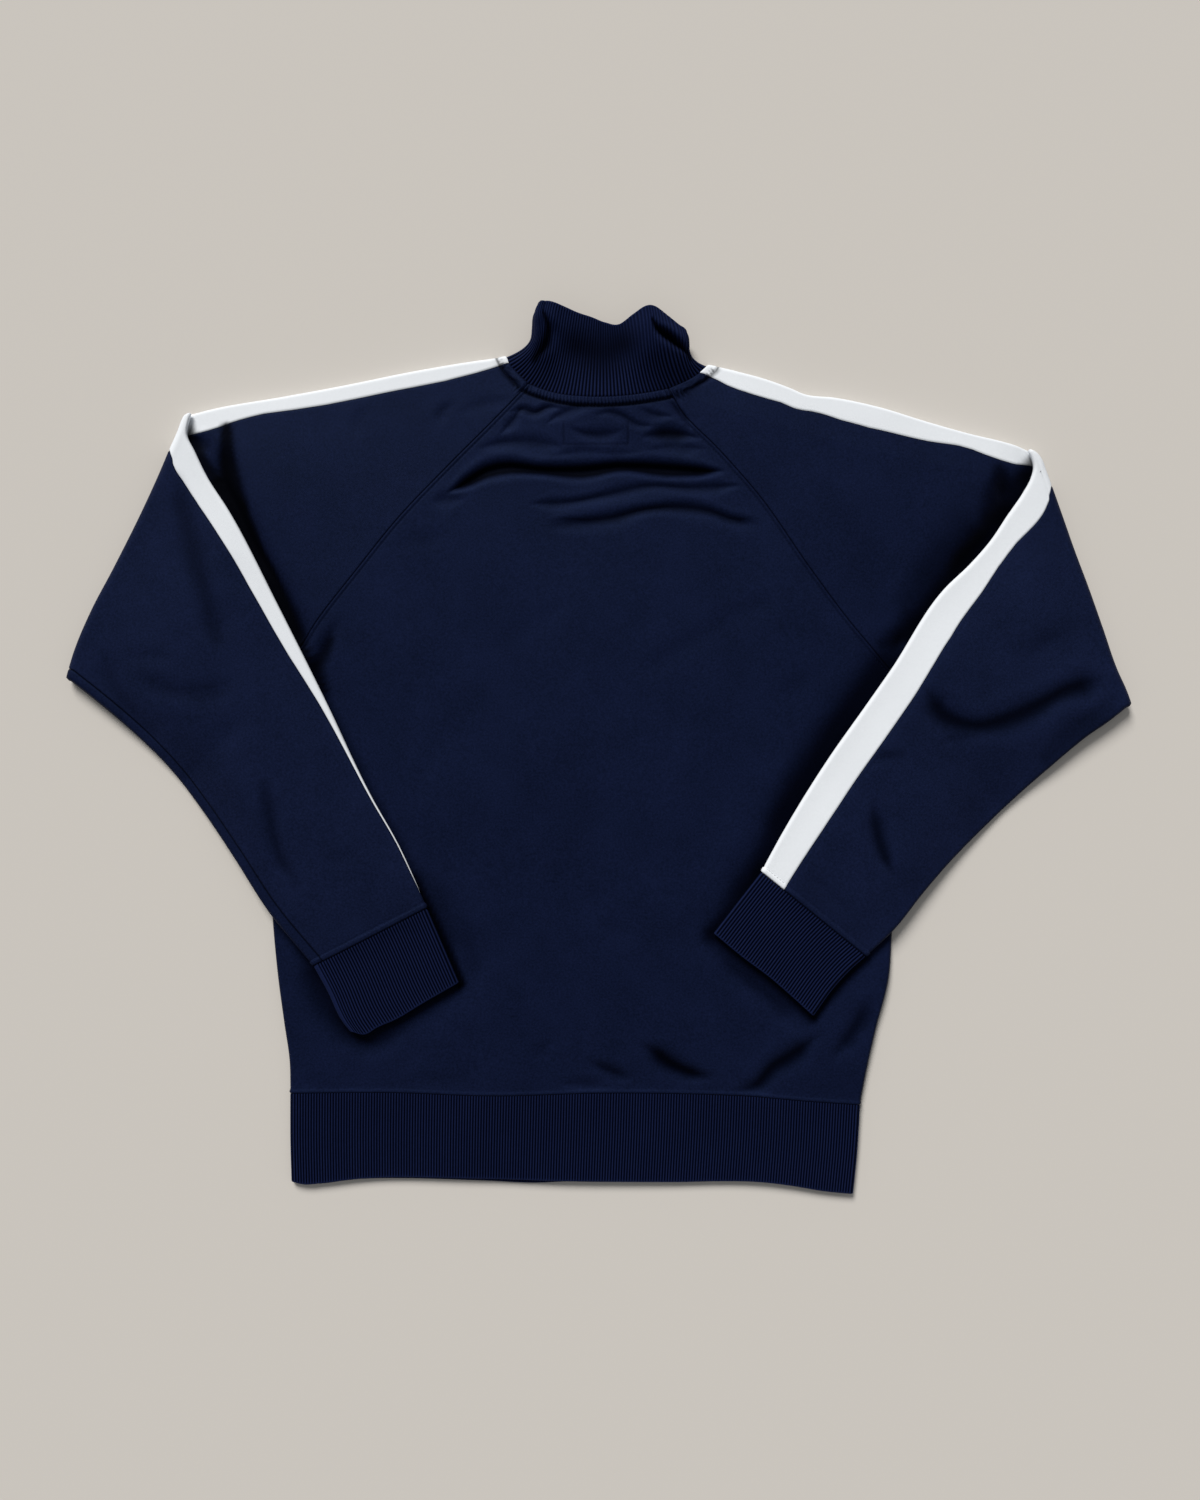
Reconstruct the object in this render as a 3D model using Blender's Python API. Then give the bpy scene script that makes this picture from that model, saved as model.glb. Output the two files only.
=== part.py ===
"""A track jacket that lies face down on a table, both sleeves folded over its back.

Lengths are in millimetres until a mesh is made, and then in metres. +X is the right-hand
side as seen from above, +Y points from the hem to the collar and +Z is up. The origin is
on the table under the middle of the jacket.

The lower stack is the two front panels and the front halves of the sleeves, flat on the
table, with the back panel and the back halves of the sleeves above them. Each sleeve is
one flattened tube that turns over at the fold and runs back across the stack to its cuff.
"""
import math

import bmesh
import bpy
import numpy as np

MM = 0.001

# Cloth and how its layers lie
CLOTH = 1.2            # thickness of the tricot
RIB_WALL = 2.5         # thickness of the doubled rib knit
RIB_RISE = 0.6         # height of a rib over the groove beside it
SEAM = 0.3             # gap between two pieces that are sewn together
LAYER = 4.2            # from the middle of the lower cloth to the middle of the upper one
EDGE = LAYER / 2       # radius of the rolled edge of a flattened tube
EDGE_ARC = math.pi / 2 * EDGE
FLOOR_MID = CLOTH / 2  # middle of a cloth that lies on the table
REST_GAP = 1.4         # air between the back and the sleeve that is folded over it
REST_RISE = REST_GAP + CLOTH
FOLD_INNER = 1.3       # radius of the inner cloth where a sleeve turns over
FOLD_OUTER = FOLD_INNER + LAYER
SIDE_ROLL = 2.5        # radius of the back panel's rolled side
STRIPE = 34.0          # width that the white stripe is cut to
SUPPORT_EDGE = 4.0     # a folded sleeve stays up this far past the stack's edge
SUPPORT_FALL = 30.0    # and comes down to the table over this length

# Rib counts
HEM_RIBS = 208         # across the back
CUFF_RIBS = 43         # across the upper side
COLLAR_RIBS = 61       # across the back

# Zip
ZIP_TOP = (4.5, 299.0)
ZIP_NECK = (3.4, 234.6)
ZIP_HEM = (-18.6, -292.0)
ZIP_END = (-19.4, -364.5)
CHAIN_HALF = 3.0       # width of one half of the closed chain
CHAIN_HIGH = 2.4
TAPE_EDGE = 8.0        # from the middle of the zip to the edge of the cloth
TAPE_HIGH = 1.2
CHAIN_LIFT = 0.3       # the chain's lower face over the table
CHAIN_LIFT_TOP = 4.1   # the same at the slider

# Soft rises of the back over its seams
PUFFS = (
    # x, y, reach_x, reach_y, rise
    (0.0, 60.0, 190.0, 230.0, 3.6),
    (4.0, 292.0, 50.0, 42.0, 6.0),
    (-235.0, 215.0, 75.0, 60.0, 1.6),
    (250.0, 205.0, 75.0, 60.0, 1.6),
)

# The largest folds of the lower stack's upper cloth: a path, its depth and its half width
BACK_FOLDS = (
    # path, depth, reach
    (((-121, 224), (-86, 239), (-36, 235), (25, 240), (103, 235)), 3.6, 9.0),
    (((-46, 208), (1, 214), (38, 222), (114, 222)), 2.6, 8.0),
    (((-36, 193), (13, 200), (87, 203), (136, 193)), 2.0, 8.0),
    (((-102, 256), (-80, 261), (-36, 259)), 1.6, 7.0),
    (((38, -248), (62, -262), (100, -277)), 2.4, 8.0),
    (((131, -283), (156, -268), (182, -246)), 1.5, 9.0),
    (((-336, 256), (-314, 201), (-255, 95)), 2.2, 10.0),
    (((351, 232), (307, 212), (289, 144), (245, 82)), 2.0, 11.0),
)

# The largest folds of the folded sleeves' upper cloth
SLEEVE_FOLDS = (
    # path, depth, reach
    (((276, 44), (294, 25), (315, 21), (351, 32), (392, 46)), 2.6, 10.0),
    (((-336, 170), (-326, 125), (-318, 88)), 1.4, 12.0),
    (((-382, 70), (-345, 51), (-308, 64)), 1.2, 10.0),
)

# Outlines, seen from above
NECK_ARC = ((-58.7, 305.6), (-46.7, 300.5), (-32.5, 296.4), (-14.9, 294.1), (8.6, 293.6),
            (26.2, 295.2), (43.9, 298.2), (57.9, 301.3))
FRONT_NECK_LEFT = ((-58.7, 305.6), (-53.2, 281.0), (-36.3, 254.0), (-16.0, 239.5), (-4.9, 235.5))
FRONT_NECK_RIGHT = ((57.9, 301.3), (54.0, 278.0), (43.0, 253.1), (24.5, 239.0), (11.7, 235.5))
RAGLAN_LEFT = ((-58.7, 305.6), (-82.7, 280.6), (-126.6, 236.7), (-168.4, 192.8),
               (-205.6, 146.7), (-236.3, 107.2), (-259.3, 72.2), (-280.3, 40.3))
RAGLAN_RIGHT = ((57.9, 301.3), (69.2, 282.8), (100.7, 250.1), (135.9, 209.9),
                (176.2, 152.1), (213.9, 101.8), (241.5, 69.7), (273.6, 31.9))
SIDE_LEFT = ((-280.3, 40.3), (-278.5, -43.8), (-274.9, -147.6), (-271.0, -187.7),
             (-265.1, -232.6), (-260.9, -262.6), (-260.1, -290.6))
SIDE_RIGHT = ((273.6, 31.9), (257.5, -60.6), (247.2, -153.9), (244.0, -193.9),
              (233.0, -237.6), (226.5, -266.3), (219.9, -300.1))
HEM_SEAM = ((-260.1, -290.6), (-181.9, -289.8), (-79.0, -292.6), (-10.5, -290.6),
            (58.1, -290.6), (126.7, -293.2), (178.1, -297.4), (219.9, -300.1))
HEM_BACK_END = ((-259.0, -364.5), (-247.5, -367.0), (-233.8, -366.0), (-202.8, -362.5),
                (-96.4, -362.3), (-24.8, -364.5), (58.2, -366.0), (144.1, -366.7),
                (161.2, -368.6), (188.8, -372.8), (214.0, -375.1))
HEM_FRONT_END = ((-259.0, -364.5), (-247.5, -367.0), (-203.4, -363.5), (-96.6, -364.8),
                 (-51.8, -367.0), (-32.6, -368.2), (-20.0, -366.0), (58.2, -366.0),
                 (144.1, -366.7), (188.8, -372.8), (214.0, -375.1))

# The raglan seams run straight between places at these shares of their length, so that the
# edges on both sides of a seam agree
RAGLAN_SHARES = (0.0, 0.09, 0.19, 0.3, 0.42, 0.55, 0.7, 0.85, 1.0)
UNDER_ARM = 0.515      # place of the under-arm point between neck and hem

# The stripe: how far it shows on the sleeve's back half, by the place along the sleeve
STRIPE_LEFT = ((0.0, 6.0), (0.4, 12.0), (0.8, 13.5), (1.0, 16.0), (2.0, 16.0), (2.15, 16.5),
               (2.35, 19.5), (2.6, 26.0), (2.8, 28.0), (3.0, 28.6))
STRIPE_RIGHT = ((0.0, 8.0), (0.15, 16.5), (0.3, 17.5), (0.5, 17.0), (0.65, 18.0), (0.8, 15.0),
                (0.9, 12.0), (1.0, 14.0), (2.0, 18.0), (2.12, 16.8), (2.3, 9.0), (2.5, 5.2),
                (2.8, 5.8), (3.0, 7.6))


# ---------------------------------------------------------------- curves and heights
def smooth(x):
    """0 below 0, 1 above 1, with a soft start and end between them."""
    x = np.clip(x, 0.0, 1.0)
    return x * x * (3.0 - 2.0 * x)


def curve(points):
    """A smooth curve through points; its parameter runs from 0 to 1 by length."""
    pts = np.array(points, float)
    step = np.linalg.norm(np.diff(pts, axis=0), axis=1)
    knots = np.concatenate([[0.0], np.cumsum(step)]) / step.sum()
    if len(pts) > 2:
        slope = np.gradient(pts, knots, axis=0)
    else:
        slope = np.array([pts[1] - pts[0]] * 2)

    def at(t):
        t = np.clip(np.asarray(t, float), 0.0, 1.0)
        i = np.clip(np.searchsorted(knots, t, side="right") - 1, 0, len(pts) - 2)
        span = knots[i + 1] - knots[i]
        u = ((t - knots[i]) / span)[..., None]
        span = span[..., None]
        start = (2 * u**3 - 3 * u**2 + 1) * pts[i] + (u**3 - 2 * u**2 + u) * span * slope[i]
        end = (3 * u**2 - 2 * u**3) * pts[i + 1] + (u**3 - u**2) * span * slope[i + 1]
        return start + end
    return at


def length_of(points):
    pts = np.array(points, float)
    return np.linalg.norm(np.diff(pts, axis=0), axis=1).sum()


def chain(points):
    """Straight runs between points; its parameter runs from 0 to 1 by length."""
    pts = np.array(points, float)
    step = np.linalg.norm(np.diff(pts, axis=0), axis=1)
    knots = np.concatenate([[0.0], np.cumsum(step)]) / step.sum()

    def at(t):
        return np.stack([np.interp(t, knots, pts[:, k]) for k in (0, 1)], axis=-1)
    return at


def joined(one, two, corner):
    """Two curves as one, which meet where the parameter is corner."""

    def at(t):
        t = np.asarray(t, float)
        return np.where((t < corner)[..., None], one(t / corner),
                        two((t - corner) / (1.0 - corner)))
    return at


def coons(first, last, start, end):
    """A patch between four curves: first and last run along t, start and end along q."""
    def at(t, q):
        t, q = np.broadcast_arrays(np.asarray(t, float), np.asarray(q, float))
        a, b = t[..., None], q[..., None]
        ruled = (1 - b) * first(t) + b * last(t) + (1 - a) * start(q) + a * end(q)
        corners = ((1 - a) * ((1 - b) * start(0.0) + b * start(1.0))
                   + a * ((1 - b) * end(0.0) + b * end(1.0)))
        return ruled - corners
    return at


def fold_height(xy, folds):
    """Troughs with a low ridge on each side, along the paths of a table of folds."""
    total = np.zeros(xy.shape[:-1])
    for path, depth, reach in folds:
        line = curve(path)(np.linspace(0.0, 1.0, 13))
        best = np.full(total.shape, 1e9)
        along = np.zeros(total.shape)
        for k in range(len(line) - 1):
            a, b = line[k], line[k + 1]
            share = np.clip(((xy - a) @ (b - a)) / ((b - a) @ (b - a)), 0.0, 1.0)
            away = np.linalg.norm(xy - (a + share[..., None] * (b - a)), axis=-1)
            closer = away < best
            best = np.where(closer, away, best)
            along = np.where(closer, (k + share) / (len(line) - 1), along)
        fade = smooth(along / 0.25) * smooth((1.0 - along) / 0.25)
        trough = -np.exp(-(best / reach) ** 2)
        ridge = 0.3 * np.exp(-((best - 1.9 * reach) / (0.8 * reach)) ** 2)
        total += depth * fade * (trough + ridge)
    return total


def back_base(xy):
    """Middle of the lower stack's upper cloth, without its folds."""
    height = np.full(xy.shape[:-1], FLOOR_MID + LAYER)
    for x, y, reach_x, reach_y, rise in PUFFS:
        height += rise * np.exp(-((xy[..., 0] - x) / reach_x) ** 2
                                - ((xy[..., 1] - y) / reach_y) ** 2)
    return height


def back_mid(xy):
    return back_base(xy) + fold_height(xy, BACK_FOLDS)


def outside(xy, outline):
    """Distance outside a closed outline, and 0 or less inside it."""
    best = np.full(xy.shape[:-1], 1e9)
    inside = np.zeros(xy.shape[:-1], bool)
    for k in range(len(outline)):
        a, b = np.array(outline[k - 1], float), np.array(outline[k], float)
        share = np.clip(((xy - a) @ (b - a)) / ((b - a) @ (b - a)), 0.0, 1.0)
        best = np.minimum(best, np.linalg.norm(xy - (a + share[..., None] * (b - a)), axis=-1))
        crosses = (a[1] > xy[..., 1]) != (b[1] > xy[..., 1])
        rise = b[1] - a[1] if b[1] != a[1] else 1.0
        inside ^= crosses & (xy[..., 0] < (b[0] - a[0]) * (xy[..., 1] - a[1]) / rise + a[0])
    return np.where(inside, -best, best)


# ---------------------------------------------------------------- meshes
def material(name, colour, roughness, metallic=0.0):
    found = bpy.data.materials.get(name)
    if found:
        return found
    made = bpy.data.materials.new(name)
    made.use_nodes = True
    shader = made.node_tree.nodes["Principled BSDF"]
    shader.inputs["Base Color"].default_value = (*colour, 1.0)
    shader.inputs["Roughness"].default_value = roughness
    shader.inputs["Metallic"].default_value = metallic
    return made


NAVY = ("navy_tricot", (0.007, 0.010, 0.028), 0.55)
NAVY_RIB = ("navy_rib", (0.005, 0.008, 0.022), 0.75)
WHITE = ("white_tricot", (0.80, 0.81, 0.85), 0.55)
ZIP_CLOTH = ("zip_tape", (0.008, 0.011, 0.028), 0.7)
METAL = ("zip_metal", (0.30, 0.31, 0.33), 0.35, 1.0)


def strip(bm, one, two):
    """Triangles between two rows of vertices that may differ in number."""
    i = j = 0
    while i < len(one) - 1 or j < len(two) - 1:
        step_one = j == len(two) - 1
        if not step_one and i < len(one) - 1:
            step_one = ((one[i + 1].co - two[j].co).length
                        <= (one[i].co - two[j + 1].co).length)
        if step_one:
            bm.faces.new((one[i], one[i + 1], two[j]))
            i += 1
        else:
            bm.faces.new((one[i], two[j + 1], two[j]))
            j += 1


def add_grid(bm, points, ring):
    """Vertices and quads of a grid of points; a ring closes on its first column."""
    rows = [[bm.verts.new(p * MM) for p in row] for row in points]
    for above, below in zip(rows, rows[1:]):
        count = len(above)
        for k in range(count if ring else count - 1):
            n = (k + 1) % count
            bm.faces.new((above[k], above[n], below[n], below[k]))
    return rows


def finish(bm, name, look):
    bmesh.ops.triangulate(bm, faces=bm.faces)
    bmesh.ops.recalc_face_normals(bm, faces=bm.faces)
    if bm.calc_volume(signed=True) < 0.0:
        bmesh.ops.reverse_faces(bm, faces=bm.faces)
    mesh = bpy.data.meshes.new(name)
    bm.to_mesh(mesh)
    bm.free()
    mesh.shade_smooth()
    mesh.set_sharp_from_angle(angle=math.radians(40))
    mesh.materials.append(material(*look))
    obj = bpy.data.objects.new(name, mesh)
    bpy.context.collection.objects.link(obj)
    return obj


def wall(name, outer, inner, look, ring=False):
    """A closed wall between an outer and an inner grid of points."""
    bm = bmesh.new()
    out = add_grid(bm, outer, ring)
    into = add_grid(bm, inner, ring)
    close = (lambda row: row + row[:1]) if ring else (lambda row: row)
    strip(bm, close(out[0]), close(into[0]))
    strip(bm, close(out[-1]), close(into[-1]))
    if not ring:
        for k in (0, -1):
            strip(bm, [row[k] for row in out], [row[k] for row in into])
    return finish(bm, name, look)


def sample(surface, rows, cols, flip=1.0, step=(1e-4, 1e-2)):
    """Points of a surface and its unit normals; cols has one row for each of rows."""
    rows = np.asarray(rows, float)[:, None] + 0.0 * cols
    along = surface(rows + step[0], cols) - surface(rows - step[0], cols)
    across = surface(rows, cols + step[1]) - surface(rows, cols - step[1])
    normal = np.cross(along, across)
    normal *= flip / np.linalg.norm(normal, axis=-1, keepdims=True)
    return surface(rows, cols), normal


def cloth_wall(name, surface, rows, cols, look, flip=1.0, thick=CLOTH, step=(1e-4, 1e-2)):
    mid, normal = sample(surface, rows, cols, flip, step)
    return wall(name, mid + normal * thick / 2, mid - normal * thick / 2, look)


def seam_line(raglan):
    """The raglan seam as straight runs."""
    return chain(curve(raglan)(np.array(RAGLAN_SHARES)))


def body_side(raglan, edge):
    """A side of the body from the neck to the hem."""
    return joined(seam_line(raglan), curve(edge), UNDER_ARM)


# ---------------------------------------------------------------- sleeves
class Sleeve:
    """A flattened tube. t runs 0 to 1 from the raglan seam to the fold, 1 to 2 round the
    fold, 2 to 3 from the fold to the cuff's seam and 3 to 4 down the cuff."""

    def __init__(self, side, neck_edge, raglan, over_in, fold, over_out, under_in, under_out,
                 cuff_over, cuff_under, cuff_end):
        self.side = side
        self.fold_line = curve(fold)
        axis_ends = self.fold_axis(np.array([0.0, 1.0]))
        self.corner = length_of(neck_edge) / (length_of(neck_edge) + length_of(raglan))
        self.start = joined(chain(neck_edge), seam_line(raglan), self.corner)
        self.inner = coons(curve((*over_in, axis_ends[0])), curve((*under_in, axis_ends[1])),
                           self.start, self.fold_axis)
        seam = curve((over_out[-1], under_out[-1]))
        self.outer = coons(curve((axis_ends[0], *over_out)), curve((axis_ends[1], *under_out)),
                           self.fold_axis, seam)
        self.cuff = coons(curve(cuff_over), curve(cuff_under), seam, curve(cuff_end))
        self.knots = np.linspace(0.0, 4.0, 121)
        ends = np.linspace(0.0, 1.0, 41)
        self.widths = np.array([length_of(self.plan(t, ends)) for t in self.knots])

    def outward(self, q):
        ahead, behind = self.fold_line(np.minimum(q + 0.01, 1.0)), self.fold_line(
            np.maximum(q - 0.01, 0.0))
        along = ahead - behind
        along /= np.linalg.norm(along, axis=-1, keepdims=True)
        return self.side * np.stack([-along[..., 1], along[..., 0]], axis=-1)

    def fold_axis(self, q):
        q = np.asarray(q, float)
        return self.fold_line(q) - self.outward(q) * (FOLD_OUTER + CLOTH / 2)

    def plan(self, t, q):
        t, q = np.broadcast_arrays(np.asarray(t, float), np.asarray(q, float))
        out = self.inner(np.clip(t, 0, 1), q)
        out = np.where((t > 1)[..., None], self.fold_axis(q), out)
        out = np.where((t > 2)[..., None], self.outer(np.clip(t - 2, 0, 1), q), out)
        return np.where((t > 3)[..., None], self.cuff(np.clip(t - 3, 0, 1), q), out)

    def width(self, t):
        return np.interp(t, self.knots, self.widths)

    def layers(self, t, w):
        """Middle of the front cloth and of the back cloth at w from the over-arm edge."""
        q = w / self.width(t)
        xy = self.plan(t, q)
        back_low = back_mid(xy)
        rest = rest_mid(xy)
        turn = np.clip(t - 1.0, 0.0, 1.0) * math.pi - math.pi / 2
        swell = 2.2 * smooth((t - 2.0) / 0.25) * smooth((3.15 - t) / 0.3)
        swell = swell * smooth(q / 0.3) * smooth((1.0 - q) / 0.3)
        front_top = rest + LAYER + swell + fold_height(xy, SLEEVE_FOLDS) * smooth((t - 2) / 0.1)
        outward = self.outward(np.clip(q, 0, 1))
        bulge = (np.cos(turn) * ((t > 1) & (t < 2)))[..., None] * outward
        back_z = (back_low + rest) / 2 + (rest - back_low) / 2 * np.sin(turn)
        front_z = (FLOOR_MID + front_top) / 2 + (front_top - FLOOR_MID) / 2 * np.sin(turn)
        front = np.concatenate([xy + FOLD_OUTER * bulge, front_z[..., None]], axis=-1)
        back = np.concatenate([xy + FOLD_INNER * bulge, back_z[..., None]], axis=-1)
        return front, back

    def point(self, t, s, half=CLOTH / 2):
        """A point of the tube at length s round it from the over-arm edge. Positive s
        runs over the front cloth and negative s over the back cloth."""
        t, s = np.broadcast_arrays(np.asarray(t, float), np.asarray(s, float))
        run = np.abs(s)
        far = self.width(t) - half - EDGE
        flat = half + EDGE + run - EDGE_ARC
        near_turn = np.clip(run / EDGE, 0.0, math.pi / 2)
        past = np.maximum(flat - far, 0.0)
        far_turn = np.clip(past / EDGE, 0.0, math.pi)
        w = np.where(run < EDGE_ARC, half + EDGE * (1 - np.cos(near_turn)), np.minimum(flat, far))
        w = np.where(past > 0, far + EDGE * np.sin(far_turn), w)
        w = w - np.maximum(past - math.pi * EDGE, 0.0)
        side = np.sign(s) * np.sin(near_turn) * np.cos(far_turn)
        front, back = self.layers(t, w)
        share = (0.5 + 0.5 * side)[..., None]
        return share * front + (1 - share) * back

    def reach(self, t, half=CLOTH / 2):
        """Length round the tube from the over-arm edge to the under-arm edge."""
        return self.width(t) - 2 * half - 2 * EDGE + 2 * EDGE_ARC


NECK_EDGE_LEFT = ((-77.0, 326.5), (-68.0, 314.2), (-58.7, 305.6))
NECK_EDGE_RIGHT = ((86.5, 319.0), (73.3, 307.8), (57.9, 301.3))
LEFT_INPUT = dict(
    side=-1,
    neck_edge=NECK_EDGE_LEFT,
    raglan=RAGLAN_LEFT,
    over_in=((-77.0, 326.5), (-102.8, 325.8), (-157.9, 318.0), (-213.1, 306.9),
             (-268.0, 295.9), (-323.4, 285.5)),
    fold=((-351.5, 280.0), (-360.0, 252.3), (-381.5, 207.9), (-412.9, 142.8),
          (-446.6, 66.9), (-447.7, 57.5)),
    over_out=((-334.2, 236.0), (-310.1, 196.7), (-266.3, 113.5), (-221.3, 29.3),
              (-178.9, -55.2), (-156.5, -100.4), (-145.0, -132.4)),
    under_in=((-280.3, 40.3), (-336.1, 41.5), (-403.5, 49.0)),
    under_out=((-423.3, 41.2), (-368.8, -10.7), (-328.7, -57.9), (-305.1, -93.3),
               (-274.3, -139.9), (-247.3, -172.6), (-239.0, -182.3)),
    cuff_over=((-145.0, -132.4), (-117.6, -197.9)),
    cuff_under=((-239.0, -182.3), (-227.4, -203.0), (-213.3, -230.0), (-207.0, -238.5)),
    cuff_end=((-117.6, -197.9), (-154.6, -217.0), (-186.2, -234.0), (-207.0, -238.5)),
)
RIGHT_INPUT = dict(
    side=1,
    neck_edge=NECK_EDGE_RIGHT,
    raglan=RAGLAN_RIGHT,
    over_in=((86.5, 319.0), (118.8, 318.0), (164.2, 302.8), (219.7, 291.4), (270.2, 276.3),
             (315.6, 262.5), (350.0, 255.5)),
    fold=((372.5, 245.0), (378.5, 222.7), (395.4, 177.4), (420.5, 111.9), (445.7, 43.9),
          (448.1, 34.0)),
    over_out=((346.2, 199.3), (336.2, 183.0), (291.1, 134.1), (243.4, 65.1), (193.3, -5.8),
              (152.3, -69.8), (135.6, -103.5)),
    under_in=((273.6, 31.9), (337.8, 26.0), (396.7, 27.5)),
    under_out=((423.6, 19.9), (377.3, -17.4), (325.8, -63.8), (274.3, -123.0),
               (246.1, -153.2), (223.5, -174.4)),
    cuff_over=((135.6, -103.5), (115.0, -130.0), (95.7, -154.8)),
    cuff_under=((223.5, -174.4), (210.7, -185.6), (197.2, -200.2), (179.5, -224.5)),
    cuff_end=((95.7, -154.8), (121.0, -175.6), (143.5, -192.4), (160.3, -207.0),
              (179.5, -224.5)),
)

STACK_OUTLINE = (
    *LEFT_INPUT["over_in"], *LEFT_INPUT["fold"], *reversed(LEFT_INPUT["under_in"]),
    *SIDE_LEFT[1:], *HEM_BACK_END, *reversed(SIDE_RIGHT[1:]), *RIGHT_INPUT["under_in"],
    *reversed(RIGHT_INPUT["fold"]), *reversed(RIGHT_INPUT["over_in"]),
)


def rest_mid(xy):
    """Middle of the lower cloth of a folded sleeve, over the stack or beside it."""
    over = back_base(xy) + REST_RISE
    fall = smooth((outside(xy, STACK_OUTLINE) - SUPPORT_EDGE) / SUPPORT_FALL)
    return over + (FLOOR_MID - over) * fall


SEAM_LEAST = 4.0       # the under-arm seam lies at least this far from the rolled edge

# Places along a sleeve at which its walls have a row of points
SLEEVE_ROWS = np.array([0.0016, 0.14, 0.34, 0.56, 0.78, 0.93, 1.0, 1.2, 1.4, 1.6, 1.8, 2.0,
                        2.08, 2.17, 2.28, 2.4, 2.53, 2.67, 2.8, 2.92, 2.9997])


def ramp(start, end, shares):
    """Columns between start and end, which hold one value for each row."""
    return start[:, None] + (end - start)[:, None] * np.asarray(shares)[None, :]


def build_sleeve(name, sleeve, stripe_table, seam_on_front):
    """The stripe, the front half and the back half of a sleeve. seam_on_front is how far
    the under-arm seam lies from the under-arm edge, on the front side if positive."""
    rows = SLEEVE_ROWS
    places, shown = np.array(stripe_table).T
    on_back = np.interp(rows, places, shown) + CLOTH / 2
    on_front = STRIPE - on_back
    edge = np.full(rows.shape, EDGE_ARC)
    reach = sleeve.reach(rows)
    seam = SEAM_LEAST + (np.abs(seam_on_front) - SEAM_LEAST) * np.clip(rows, 0.0, 1.0)
    flip = -sleeve.side

    stripe = np.concatenate([
        ramp(-on_back, -edge, (0.0,)), ramp(-edge, edge, (0.0, 0.25, 0.5, 0.75, 1.0)),
        ramp(edge, on_front, (1.0,))], axis=1)
    cloth_wall("stripe_" + name, sleeve.point, rows, stripe, WHITE, flip)

    turn_in = reach - EDGE_ARC
    turn_out = reach + EDGE_ARC
    halves = (("sleeve_front_", on_front + SEAM, 1.0, seam_on_front),
              ("sleeve_back_", on_back + SEAM, -1.0, -seam_on_front))
    raglan = sleeve.corner + (1.0 - sleeve.corner) * np.array(RAGLAN_SHARES[:-1])
    raglan = raglan * sleeve.width(0.0) - CLOTH / 2 - EDGE + EDGE_ARC
    for label, start, sign, short in halves:
        end = reach - seam - SEAM if short > 0 else turn_in
        shares = np.concatenate([[0.0], (raglan - start[0]) / (end[0] - start[0])])
        if short > 0:
            cols = ramp(start, end, (*shares, 1.0))
        else:
            cols = np.concatenate([ramp(start, end, shares),
                                   ramp(turn_in, turn_out, (0.0, 0.25, 0.5, 0.75, 1.0)),
                                   ramp(turn_out, reach + seam, (1.0,))], axis=1)
        cloth_wall(label + name, sleeve.point, rows, sign * cols, NAVY, flip)


def rib_offset(count, share, rise):
    """Depth under the rib's top at a share of the width: 0 on a rib, rise in a groove."""
    return rise * (0.5 - 0.5 * np.cos(2 * math.pi * count * share))


def build_cuff(name, sleeve):
    half = RIB_WALL / 2
    rows = np.array([3.002, 3.03, 3.97, 3.998])
    thin = np.array([0.75, 1.0, 1.0, 0.5])
    reach = sleeve.reach(rows, half)
    ribbed = np.linspace(0.0, 1.0, 2 * CUFF_RIBS + 1)
    plain = np.linspace(1.0, 2.0, 9)[1:-1]
    share = np.concatenate([ribbed, plain])
    cols = reach[:, None] * np.where(share <= 1.0, share, share - 2.0)[None, :]
    surface = lambda t, s: sleeve.point(t, s, half)
    mid, normal = sample(surface, rows, cols, -sleeve.side, (1e-4, 1e-2))
    groove = np.where(share < 1.0, rib_offset(CUFF_RIBS, share + 0.5 / CUFF_RIBS, RIB_RISE), 0.0)
    outer = mid + normal * (half - groove)[None, :, None] * thin[:, None, None]
    keep = np.r_[0, 1, 2, np.arange(8, 2 * CUFF_RIBS - 3, 8), 2 * CUFF_RIBS - 2,
                 2 * CUFF_RIBS - 1, 2 * CUFF_RIBS, np.arange(2 * CUFF_RIBS + 1, len(share))]
    few = np.r_[0, 1, 3]
    inner = (mid - normal * half * thin[:, None, None])[few][:, keep]
    wall("cuff_" + name, outer, inner, NAVY_RIB, ring=True)


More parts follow.
